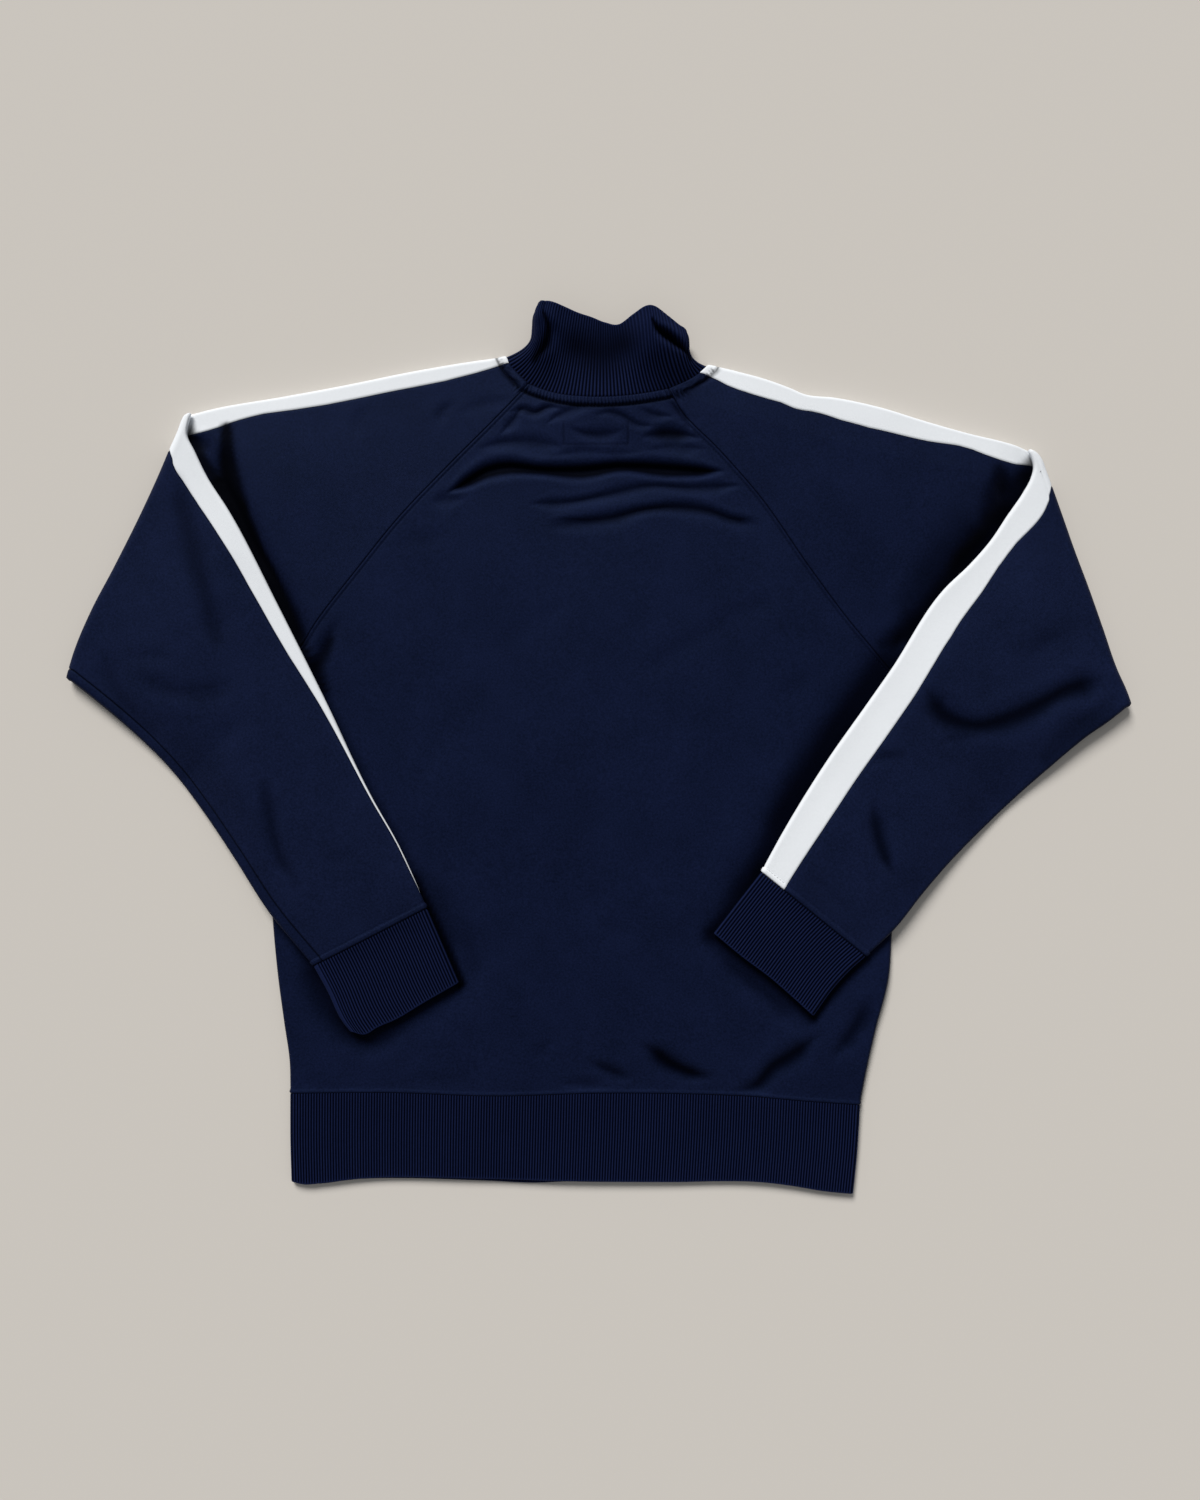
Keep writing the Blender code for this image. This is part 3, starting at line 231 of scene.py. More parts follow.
print("curve check:", np.round(curve([(0, 0), (10, 5), (20, 0)])([0.0, 0.5, 1.0]), 2).tolist())

# %% [markdown]
# The outlines below are the jacket's own pattern, in millimetres from its middle: +X is
# the right-hand side and +Y points to the collar.

# %% Outlines
CLOTH = 1.2            # thickness of the tricot
RIB_WALL = 2.5         # thickness of the doubled rib knit
LAYER = 4.2            # from the middle of the lower cloth to the middle of the upper one
EDGE = LAYER / 2       # radius of the rolled edge of a flattened tube
EDGE_ARC = math.pi / 2 * EDGE
FLOOR_MID = CLOTH / 2
REST_RISE = 1.4 + CLOTH          # from the back's middle to the folded sleeve's lower cloth
FOLD_INNER = 1.3                 # how far the inner cloth bulges at a sleeve's fold
FOLD_OUTER = FOLD_INNER + LAYER  # and how far the outer cloth does
SIDE_ROLL = 2.5        # radius with which the back rolls down at its sides
LEAST_MID = 2.3        # the back's middle never comes lower than this
UNDER_ARM = 0.515      # place of the under-arm point between neck and hem

NECK_ARC = ((-58.7, 305.6), (-46.7, 300.5), (-32.5, 296.4), (-14.9, 294.1), (8.6, 293.6),
    (26.2, 295.2), (43.9, 298.2), (57.9, 301.3))
NECK_EDGE = {
    "left": ((-78.2, 329.6), (-75.4, 323.8), (-68, 314.6), (-58.7, 305.6)),
    "right": ((92, 322.2), (84.5, 315.3), (73.3, 308.2), (57.9, 301.3))}
FRONT_NECK = {
    "left": ((-58.7, 305.6), (-53.2, 281), (-36.3, 254), (-16, 239.5), (-4.9, 235.5)),
    "right": ((57.9, 301.3), (54, 278), (43, 253.1), (24.5, 239), (11.7, 235.5))}
RAGLAN = {
    "left": ((-58.7, 305.6), (-82.7, 280.6), (-126.6, 236.7), (-168.4, 192.8), (-205.6, 146.7),
        (-236.3, 107.2), (-259.3, 72.2), (-280.3, 40.3)),
    "right": ((57.9, 301.3), (69.2, 282.8), (100.7, 250.1), (135.9, 209.9), (176.2, 152.1),
        (213.9, 101.8), (241.5, 69.7), (273.6, 31.9))}
SIDE = {
    "left": ((-280.3, 40.3), (-278.5, -43.8), (-274.9, -147.6), (-271, -187.7), (-265.1, -232.6),
        (-260.9, -262.6), (-260.1, -290.6)),
    "right": ((273.6, 31.9), (257.5, -60.6), (247.2, -153.9), (244, -193.9), (233, -237.6),
        (226.5, -266.3), (219.9, -300.1))}
HEM_SEAM = ((-260.1, -290.6), (-181.9, -289.8), (-79, -292.6), (-10.5, -290.6), (58.1, -290.6),
    (126.7, -293.2), (178.1, -297.4), (219.9, -300.1))
HEM_BACK_END = ((-259, -364.5), (-247.5, -367), (-233.8, -366), (-202.8, -362.5), (-96.4, -362.3),
    (-24.8, -364.3), (58.2, -365), (144.1, -365.8), (161.2, -368), (188.8, -372.6), (214, -375.1))
HEM_FRONT_END = ((-259, -364.5), (-247.5, -367), (-203.4, -363.5), (-96.6, -364.8),
    (-51.8, -366.6), (-32.6, -366.8), (-10, -363.2), (58.2, -363.5), (144.1, -364.8),
    (188.8, -371.8), (214, -375.1))
# how far the stripe reaches round each half of the sleeve, by the place along the sleeve
STRIPE_ON_BACK = {
    "left": ((0, 7.6), (0.033, 8.3), (0.07, 10.2), (0.12, 12.3), (0.215, 14.8), (0.31, 15.1),
        (0.4, 14.7), (0.58, 14.7), (0.67, 13.9), (0.76, 12.8), (0.8, 13.5), (0.845, 14.8),
        (0.89, 17), (0.93, 18), (1, 17.5), (2, 15.5), (2.35, 19.5), (2.6, 26), (2.8, 30), (3, 33)),
    "right": ((0, 10.6), (0.035, 12.9), (0.07, 15.4), (0.1, 17.8), (0.14, 19.6), (0.185, 20.1),
        (0.225, 19.3), (0.265, 17.7), (0.352, 18.1), (0.445, 23.3), (0.527, 24.2), (0.608, 22.2),
        (0.69, 19.8), (0.77, 15.5), (0.812, 15.7), (0.853, 17.9), (0.893, 19.4), (0.932, 19.5),
        (0.983, 15.5), (1, 14.5), (2, 13.5), (2.2, 15.3), (2.3, 8), (2.36, 4.5), (2.8, 5), (3, 9))}
STRIPE_ON_FRONT = {
    "left": ((0, 28), (0.1, 23), (0.3, 19.7), (0.7, 20.5), (0.9, 18.5), (1, 24), (1.3, 31),
        (1.5, 33.6), (1.6, 33.4), (1.7, 33.7), (1.8, 34.6), (1.9, 36.2), (2, 38), (2.02, 31),
        (2.04, 26.4), (2.062, 25.2), (2.092, 22.9), (2.122, 20.8), (2.15, 20.1), (2.198, 19.9),
        (2.256, 18.1), (2.308, 16.9), (2.36, 15.1), (2.412, 13.8), (2.464, 11.9), (2.518, 9.2),
        (2.573, 6.7), (2.626, 4.9), (2.677, 3.4), (2.727, 2.4), (2.777, 1.8), (2.827, 1.4),
        (2.87, 1.2), (2.9, 1.1), (2.93, 0.8), (2.96, 0), (3, -1.4)),
    "right": ((0, 29.5), (0.1, 17), (0.5, 11), (0.75, 19), (0.9, 16), (1, 22), (1.3, 32),
        (1.5, 34.2), (1.6, 33.7), (1.7, 34.1), (1.8, 35.5), (1.9, 37.8), (2, 40.2), (2.02, 33),
        (2.045, 28.5), (2.085, 26.5), (2.119, 23.8), (2.155, 20.7), (2.187, 19.2), (2.217, 19.2),
        (2.242, 20.9), (2.268, 23.2), (2.322, 27.7), (2.373, 30.9), (2.432, 31.1), (2.491, 30.7),
        (2.61, 30.4), (2.73, 29.9), (2.789, 29.6), (2.851, 28.5), (2.909, 27), (2.97, 25.2),
        (3, 24.6))}
SLEEVE_PLAN = {
    "left": dict(
        side=-1,
        over_in=((-78.2, 329.6), (-90, 327.6), (-102.8, 325.8), (-157.9, 316.4), (-213.1, 305.2),
            (-268, 294.8), (-325.5, 284.6), (-336, 282.2)),
        fold=((-347.8, 279.4), (-350.4, 274.6), (-354.2, 264.8), (-360.6, 250.4), (-367.9, 233.1),
            (-383, 199.9), (-408.2, 149.5), (-425.9, 115.9), (-440.2, 82.3), (-447.7, 57.5)),
        over_out=((-345, 262.3), (-338.7, 248.9), (-329.1, 228.9), (-309.9, 198.8),
            (-268.2, 118.6), (-228.1, 38.4), (-189.6, -41.8), (-167.1, -81.9), (-155.4, -106.9),
            (-143.7, -133.7)),
        under_in=((-280.3, 40.3), (-336.1, 41.5), (-403.5, 49)),
        under_out=((-423.3, 41.2), (-392.9, 15.1), (-366.9, -10.7), (-331.2, -55.4),
            (-305.1, -93.3), (-274.3, -139.9), (-247.3, -172.6), (-239, -182.3)),
        cuff_over=((-143.7, -133.7), (-117, -196)),
        cuff_under=((-239, -182.3), (-227.4, -203), (-214.3, -229), (-208, -236.5)),
        cuff_end=((-117, -196), (-146.5, -213), (-171, -227.5), (-184.8, -233.4), (-195.7, -239.4),
            (-208, -236.5))),
    "right": dict(
        side=1,
        over_in=((92, 322.2), (101.5, 320.4), (110.5, 318.4), (122.4, 315.2), (135, 311.8),
            (160.4, 302.8), (173, 297.4), (198.2, 294.4), (236, 286.2), (273.8, 274.4),
            (311.6, 263.6), (336.8, 257.7), (351, 253.7)),
        fold=((365.4, 248.4), (369.4, 245.4), (372.7, 240.3), (375, 233.7), (378, 225.6),
            (387.2, 199.9), (399, 166.3), (411.6, 132.7), (423.4, 99.1), (435.1, 65.5),
            (442.7, 48.7), (447.4, 36)),
        over_out=((363.6, 234.5), (360.6, 224), (355.2, 214.3), (341.4, 194.2), (328, 174.1),
            (310.5, 154), (289.7, 134), (243.9, 65.1), (221.7, 33.5), (193.8, -5.8), (154, -69.8),
            (135.6, -103.5)),
        under_in=((273.6, 31.9), (337.8, 26), (396.7, 27.5)),
        under_out=((423.6, 19.9), (412, 12), (376, -18.4), (330.5, -60.5), (288.4, -102.3),
            (271.5, -121.5), (246.5, -152.6), (223.5, -174.4)),
        cuff_over=((135.6, -103.5), (115, -130), (95.7, -154.8)),
        cuff_under=((223.5, -174.4), (210.7, -185.6), (197.2, -200.2), (179.5, -224.5)),
        cuff_end=((95.7, -154.8), (121, -175.6), (143.5, -192.4), (160.3, -207), (179.5, -224.5)))}
print("neck seam across the back:", round(along(NECK_ARC)[-1]), "mm")

# %% [markdown]
# ## Creases
#
# A crease is a soft trough with a low ridge on each side. The main ones are listed one by
# one: a path on the cloth, a depth and a half width. Long shallow ripples under them
# keep the plain stretches from looking ironed.

# %% Creases of the lower stack's upper cloth
PUFFS = (
    # x, y, reach_x, reach_y, rise
    (0, 60, 190, 230, 3.6),
    (4, 292, 50, 42, 6),
    (-235, 215, 75, 60, 1.6),
    (250, 205, 75, 60, 1.6),
)
LOWER_FOLDS = (
    # path, depth, reach
    (((-129, 214), (-121, 219), (-108, 227), (-95, 234), (-82, 237), (-48, 235), (-15, 234),
      (19, 238), (52, 236), (86, 234), (106, 233)), 5.6, 4.6),
    (((-60, 205), (-24, 207), (11, 214), (38, 220), (78, 219), (122, 221)), 1.9, 3.6),
    (((-48, 189), (11, 194), (38, 201), (68, 203), (92, 200), (112, 193), (140, 189)), 2.7, 4),
    (((-104, 251), (-83, 257), (-64, 258), (-28, 253)), 1.5, 5),
    (((34, 261), (55, 265), (70, 264), (86, 260)), 3.2, 4.8),
    (((38, 250), (62, 253), (92, 251)), 1.2, 4.4),
    (((-28, 270), (-12, 264), (2, 263), (22, 267)), 1.8, 4.8),
    (((-40, 246), (-10, 248), (12, 246), (36, 249)), 0.9, 4.5),
    (((-84, 262), (-77, 270), (-71, 277), (-64, 289)), 1.5, 3.4),
    (((-78, 281), (-64, 285), (-54, 282), (-43, 286), (-28, 284)), 2.2, 3.4),
    (((-46, 271), (-34, 279), (-22, 284), (-4, 284)), 1.5, 3.4),
    (((-6, 278), (10, 281), (22, 277), (30, 272), (48, 270)), 1.7, 3.4),
    (((32, 285), (46, 280), (64, 278)), 1.5, 3.4),
    (((56, 292), (66, 284), (73, 276), (77, 265)), 1.7, 3.4),
    (((-142, 206), (-127, 210), (-112, 209)), 1.2, 5),
    (((-172, 176), (-148, 176), (-124, 181)), 0.5, 6),
    (((-134, 269), (-133, 282), (-121, 291)), 1.2, 5.5),
    (((-123, 280), (-100, 289), (-69, 294)), 0.8, 5),
    (((-207, 259), (-202, 276), (-192, 291)), 0.6, 6),
    (((-239, 59), (-234, 81), (-219, 109)), 2.4, 6),
    (((-318, 261), (-314, 229), (-303, 204), (-290, 173), (-276, 151), (-265, 128), (-253, 101),
      (-241, 77)), 3.4, 6.5),
    (((-345, 262), (-335, 259), (-328, 246)), 2, 5),
    (((155, 131), (118, 116), (93, 102), (64, 84), (30, 61)), 0.6, 7),
    (((-18, 128), (-54, 108), (-93, 86)), 0.4, 8),
    (((-119, 37), (-138, 3), (-156, -37)), 0.4, 8),
    (((193, 72), (169, 57), (139, 39)), 0.5, 8),
    (((257, 106), (228, 64), (194, 13), (165, -35), (139, -77), (120, -108), (100, -132)), 2, 13),
    (((345, 239), (338, 222), (335, 205)), 2.6, 5),
    (((364, 234), (354, 218)), 2, 4),
    (((333, 192), (320, 175), (303, 160), (290, 141)), 2.3, 6.5),
    (((243, 81), (256, 101), (270, 116)), 2.3, 7.5),
    (((32, -246), (46, -253), (60, -263), (78, -271), (100, -276)), 3.6, 6.4),
    (((-12, -261), (9, -269), (32, -278)), 2.4, 5.2),
    (((-42, -281), (-16, -280), (14, -283)), 1.4, 4),
    (((186, -238), (162, -256), (146, -266), (132, -281), (112, -288)), 3.1, 6.8),
    (((230, -204), (215, -232), (193, -262)), 2.3, 8),
    (((-36, -242), (-46, -250), (-60, -263)), 0.8, 5),
    (((-181, -279), (-141, -277), (-100, -279)), 0.6, 4),
    (((-255, -282), (-243, -278), (-229, -275)), 0.6, 5),
    (((-1, -139), (34, -158)), 0.9, 10),
    (((-261, -157), (-239, -191), (-219, -228), (-196, -245), (-159, -234)), 1.6, 8),
    (((-115, -132), (-108, -170), (-105, -203)), 1.2, 9),
    (((95, -170), (123, -193), (152, -217), (169, -237)), 1.6, 7),
)
print(len(LOWER_FOLDS), "creases on the back and the upper arms")

# %% Creases of the folded sleeves
UPPER_FOLDS = (
    # path, depth, reach
    (((-362, 226), (-351, 199), (-340, 162), (-329, 129), (-317, 82)), 1.3, 11),
    (((-388, 63), (-369, 54), (-340, 48), (-322, 49), (-303, 62)), 1.2, 8.5),
    (((-400, 76), (-377, 79), (-353, 74)), 0.6, 7),
    (((-414, 87), (-410, 63), (-395, 37), (-377, 18), (-360, 3)), 1.2, 8),
    (((-280, -28), (-272, -72), (-266, -92), (-252, -112)), 1.5, 6),
    (((-231, -100), (-215, -90), (-198, -84)), 0.6, 6),
    (((-316, 170), (-303, 149), (-292, 124)), 0.4, 9),
    (((270, 56), (288, 30), (316, 21), (341, 27), (366, 38), (388, 50), (428, 60)), 3, 8.6),
    (((360, 78), (373, 89), (387, 97)), 0.6, 8),
    (((369, -5), (391, 17), (416, 31), (435, 40)), 0.9, 7),
    (((227, -40), (233, -75), (248, -112)), 2.6, 6),
    (((225, -14), (236, -8), (250, -5)), 0.7, 5),
    (((168, -100), (191, -119), (208, -140)), 0.6, 4),
    (((277, 3), (297, 8), (322, 8)), 0.6, 6),
)
RIPPLES = (
    # wave_x, wave_y, phase, rise
    (0.021, 0.012, 0.3, 0.3),
    (-0.013, 0.031, 1.9, 0.22),
    (0.043, -0.026, 4.1, 0.14),
    (0.034, 0.052, 2.7, 0.1),
    (-0.071, 0.018, 5.2, 0.07),
)
TAPER = 25.0           # length over which each end of a long crease fades


def crease_height(xy, folds):
    """Each trough has its steep wall and its higher ridge on the side that the light
    comes from, as cloth has that sags away from where it is held."""
    total = np.zeros(xy.shape[:-1])
    for path, depth, reach in folds:
        line = traced(path, 25) - 0.25 * reach * LIGHT_SIDE
        low, high = line.min(0) - 5 * reach, line.max(0) + 5 * reach
        near = ((xy > low) & (xy < high)).all(-1)
        step, place = nearest(xy[near], line)
        away = np.linalg.norm(step, axis=-1)
        long = along(line)[-1]
        taper = min(0.42 * long, TAPER)
        fade = smooth(place / taper) * smooth((long - place) / taper)
        # the width shrinks towards both ends and wanders a little, in each crease differently
        wide = reach * (0.35 + 0.65 * fade)
        wide = wide * (1.0 + 0.16 * np.sin(0.09 * place + path[0][0] + path[0][1]))
        steep = smooth(0.5 + step @ LIGHT_SIDE / np.maximum(away, 0.1))
        trough = valley(away, (1.35 - 0.55 * steep) * wide)
        ridge = (0.03 + 0.09 * steep) * valley(away - (2.4 - 0.6 * steep) * wide, 0.85 * wide)
        total[near] += depth * fade**0.7 * (ridge - trough)
    return total


def ripple(xy):
    total = np.zeros(xy.shape[:-1])
    for wave_x, wave_y, phase, rise in RIPPLES:
        total += rise * np.sin(wave_x * xy[..., 0] + wave_y * xy[..., 1] + phase)
    return total


print(len(UPPER_FOLDS), "creases on the folded sleeves")

# %% [markdown]
# ## How the layers rest
#
# The fronts lie flat on the floor. The back lies over them, puffed up a little by the air
# between. A folded sleeve rests on the back, and comes down to the floor beside it.


# %% Heights of the layers
def mounds(xy, table):
    """Soft rises from a table of x, y, reach_x, reach_y and rise."""
    return sum(rise * np.exp(-((xy[..., 0] - x) / reach_x) ** 2
                             - ((xy[..., 1] - y) / reach_y) ** 2)
               for x, y, reach_x, reach_y, rise in table)


def back_base(xy):
    return FLOOR_MID + LAYER + mounds(xy, PUFFS)


STACK_OUTLINE = (
    *SLEEVE_PLAN["left"]["over_in"], *SLEEVE_PLAN["left"]["fold"],
    *reversed(SLEEVE_PLAN["left"]["under_in"]), *SIDE["left"][1:], *HEM_BACK_END,
    *reversed(SIDE["right"][1:]), *SLEEVE_PLAN["right"]["under_in"],
    *reversed(SLEEVE_PLAN["right"]["fold"]), *reversed(SLEEVE_PLAN["right"]["over_in"]))


def outside(xy, outline):
    """Distance outside a closed outline, and 0 or less inside it."""
    ring = np.array([*outline, outline[0]], float)
    away, _ = distance(xy, ring)
    inside = np.zeros(xy.shape[:-1], bool)
    for a, b in zip(ring, ring[1:]):
        crosses = (a[1] > xy[..., 1]) != (b[1] > xy[..., 1])
        rise = b[1] - a[1] if b[1] != a[1] else 1.0
        inside ^= crosses & (xy[..., 0] < (b[0] - a[0]) * (xy[..., 1] - a[1]) / rise + a[0])
    return np.where(inside, -away, away)


def folded_outline(name):
    plan = SLEEVE_PLAN[name]
    return np.array([*plan["over_out"], *plan["cuff_over"][1:], *plan["cuff_end"][1:-1],
                     *reversed(plan["cuff_under"][1:]), *reversed(plan["under_out"]),
                     *reversed(plan["fold"])])


FOLDED = [folded_outline(name) for name in ("left", "right")]
ARM_PUFFS = (
    # x, y, reach_x, reach_y, rise: beside the folded sleeves, where the arm stays full
    (-285, 225, 46, 62, 3.4),
    (312, 205, 50, 60, 3.4),
)


def beside_sleeves(xy):
    """Distance from the nearer folded sleeve, below 0 under it."""
    return np.minimum(*(outside(xy, outline) for outline in FOLDED))


def puff(xy):
    """Air lifts the back between the folded sleeves, which press it down along their edges."""
    clear, y = beside_sleeves(xy), xy[..., 1]
    rise = 1.8 * smooth(clear / 34.0) * smooth((y + 325.0) / 120.0) * smooth((335.0 - y) / 60.0)
    return rise + mounds(xy, ARM_PUFFS) * smooth((clear - 4.0) / 13.0)


def back_mid(xy):
    height = back_base(xy) + puff(xy) + crease_height(xy, LOWER_FOLDS) + ripple(xy)
    return np.maximum(height, LEAST_MID)


def rest_mid(xy):
    """Middle of the lower cloth of a folded sleeve, over the stack or beside it."""
    over = back_base(xy) + REST_RISE
    return over + (FLOOR_MID - over) * smooth((outside(xy, STACK_OUTLINE) - 2.0) / 80.0)


print("back at its middle:", round(float(back_base(np.array([0.0, 60.0]))), 1), "mm up")

# %% [markdown]
# Cloth is darkest where another layer presses it into a cleft: beside a folded sleeve, under
# a cuff, in the pit of a crease, because the light hardly gets in there. That shade is painted
# into the colour: the paths below follow those clefts, each sheet keeps the result as a painted
# shade value, which is 0 on open cloth and nearly 1 in a cleft, and its finish goes dark with it.

# %% Painted shade in the clefts beside the folded sleeves
PAINTED_CLEFT_SHADE = (
    # path, half widths along it, softness, dark: how much shade each path paints
    (((-345, 264), (-333, 243), (-318, 219)), (6.5, 4.5, 6), 0.6, 0.88),
    (((-312, 268), (-311, 243), (-307, 222), (-302, 202)), (5, 7, 8.5, 8.5), 0.45, 0.93),
    (((-319, 219), (-309, 198), (-300, 180), (-290, 161), (-280, 141), (-268, 119), (-258, 99),
      (-250, 84)), (9, 15.5, 13.5, 10.5, 10.5, 7.5, 6, 3), 0.22, 0.97),
    (((-247, 80), (-239, 64), (-230, 46)), (5, 8.5, 4), 0.7, 0.92),
    (((-240, 66), (-231, 76), (-224, 92)), (6, 5, 2.5), 0.9, 0.7),
    (((364, 235), (352, 214), (341, 194)), (9, 15, 10), 0.55, 0.88),
    (((335, 232), (331, 214), (326, 196)), (6, 9, 8), 0.8, 0.75),
    (((341, 194), (327, 174), (309, 153)), (11, 19, 15), 0.5, 0.9),
    (((309, 153), (289, 133), (272, 108), (262, 93)), (13, 10, 11, 6), 0.6, 0.9),
    (((306, 180), (287, 158), (262, 124)), (16, 14, 12), 1, 0.5),
    (((262, 108), (250, 96), (238, 88)), (9, 8, 4), 0.9, 0.6),
    (((246, 68), (222, 36), (193, -6), (152, -70), (136, -104)), (14, 15, 17, 13, 9), 0.75, 0.6),
    (((232, 66), (205, 28), (176, -12), (146, -60)), (12, 12, 12, 8), 0.9, 0.42),
    (((-155, -110), (-144, -137), (-130, -167), (-116, -198)), (3.5, 6, 5.5, 4), 0.5, 0.93),
    (((-150, -112), (-138, -134), (-124, -160)), (9, 13, 8), 1, 0.35),
    (((-116, -199), (-146, -216), (-172, -231), (-200, -243)), (4, 8, 9, 9), 1, 0.48),
    (((-243, -190), (-231, -214), (-214, -238)), (9, 12, 9), 0.9, 0.5),
    (((136, -106), (115, -131), (94, -156)), (10, 11, 7), 0.9, 0.66),
    (((94, -157), (120, -178), (143, -195), (160, -209), (178, -227)), (7, 9, 9, 9, 5), 0.9, 0.58),
    (((180, -224), (198, -200), (222, -176)), (4, 7, 5), 0.8, 0.6),
)
SLEEVE_PAINTED_SHADE = (
    # path, half widths along it, softness, dark: how much shade each path paints
    (((-353, 226), (-341, 176), (-332, 138), (-320, 92)), (5, 8, 8, 6), 1, 0.28),
    (((-279, -30), (-270, -82), (-254, -110)), (5, 7, 5), 1, 0.26),
    (((352, 84), (372, 94), (398, 104)), (6, 9, 6), 1, 0.18),
    (((374, -8), (398, 12), (428, 30)), (5, 8, 5), 1, 0.35),
    (((237, -4), (244, -6), (252, -4)), (4, 5, 3), 1, 0.3),
)


def cleft_painted_shade(xy, table):
    """How much shade the clefts of a table paint on each place, from 0 to 1."""
    light = np.ones(xy.shape[:-1])
    for path, halves, softness, dark in table:
        line = traced(path, 17)
        reach = max(halves) * (1.0 + softness)
        near = ((xy > line.min(0) - reach) & (xy < line.max(0) + reach)).all(-1)
        away, place = distance(xy[near], line)
        half = np.interp(place / along(line)[-1], np.linspace(0.0, 1.0, len(halves)), halves)
        inside = (half * (1.0 + softness) - away) / (2 * half * softness)
        light[near] *= 1.0 - dark * smooth(inside)
    return 1.0 - light


def together(*painted_shades):
    """Several painted shade values as one."""
    light = 1.0
    for painted_shade in painted_shades:
        light = light * (1.0 - painted_shade)
    return 1.0 - light


def contact_painted_shade(xy):
    """The narrow shade painted all round the folded sleeves, and the shade painted in the clefts
    beside them.
    """
    return together(0.52 * (1.0 - smooth(beside_sleeves(xy) / 8.0)), cleft_painted_shade(xy, PAINTED_CLEFT_SHADE))


print(len(PAINTED_CLEFT_SHADE), "cleft_painted_shade")

# %% [markdown]
# ## Seams that show
#
# Sewing leaves low relief: a seam is a narrow valley, the allowance beside it is a ridge,
# and the row of topstitches pulls a second, softer valley. The neck tape is a raised band
# 7 mm wide whose stitches gather the cloth into small scallops.

# %% Relief of seams on the back
NECK_LINE = np.array([*NECK_EDGE["left"][:-1], *NECK_ARC, *reversed(NECK_EDGE["right"][:-1])])
BAND, BAND_RISE = 7.4, 1.1       # width and height of the neck tape
SCALLOP = 2.8          # from stitch to stitch along the tape
TOPSTITCH = 3.2        # from the raglan seam to its topstitches
LABEL = (-29.4, 24.4, 254.0, 275.5)   # the stitched patch inside, which prints through
LABEL_DEPTH = 0.35


def neck_place(xy):
    """Distance below the neck seam, and 1 on each scallop of the tape and -1 between them."""
    away, place = distance(xy, traced(NECK_LINE, 61))
    turn = 2 * math.pi * place / SCALLOP
    return away, 0.7 * np.sin(turn) + 0.3 * np.sin(turn / 2)


def neck_relief(xy):
    away, scallop = neck_place(xy)
    tape = smooth(away / 1.0) * smooth((BAND + 0.3 * scallop - away) / 1.5)
    return BAND_RISE * tape * (1.0 + 0.5 * scallop) - 1.0 * valley(away - BAND - 0.7, 1.0)


# Painted shade between the scallops of the tape and along the valley below it.
def neck_painted_shade(xy):
    away, scallop = neck_place(xy)
    between = smooth(0.5 - 0.8 * scallop) * smooth((away - 0.4 * BAND) / 2.5) * (away < BAND + 0.7)
    return together(0.72 * between, 0.85 * valley(away - BAND - 1.0, 1.2))


def from_raglans(xy):
    """Distance from the left raglan seam and from the right one."""
    return [distance(xy, traced(RAGLAN[side], 41))[0] for side in RAGLAN]


def raglan_relief(xy):
    """On the back panel: the ridge of the allowance and the row of topstitches beyond it."""
    return sum(0.38 * valley(away - 1.3, 0.9) - 0.28 * valley(away - TOPSTITCH, 0.7)
               for away in from_raglans(xy))


def label_relief(xy):
    left, right, low, high = LABEL
    x, y = xy[..., 0], xy[..., 1]
    upright = smooth((y - low + 1) / 2) * smooth((high - y) / 8)
    level = smooth((x - left + 1) / 2) * smooth((right - x + 1) / 2)
    lines = (valley(x - left, 0.9) * upright + valley(x - right, 0.9) * upright
             + 0.6 * valley(y - low, 1.1) * level)
    return -LABEL_DEPTH * np.minimum(lines, 1.0)


def seam_painted_shade(xy):
    """Painted shade along the stitched rows of the back, in the grooves where the patch prints
    through and at the neck tape.
    """
    stitched = sum(0.28 * valley(away - TOPSTITCH, 0.8) for away in from_raglans(xy))
    return together(np.minimum(stitched, 0.3), -1.1 * label_relief(xy), neck_painted_shade(xy))


print("neck tape", BAND, "mm wide, topstitches", TOPSTITCH, "mm from the raglan seams")
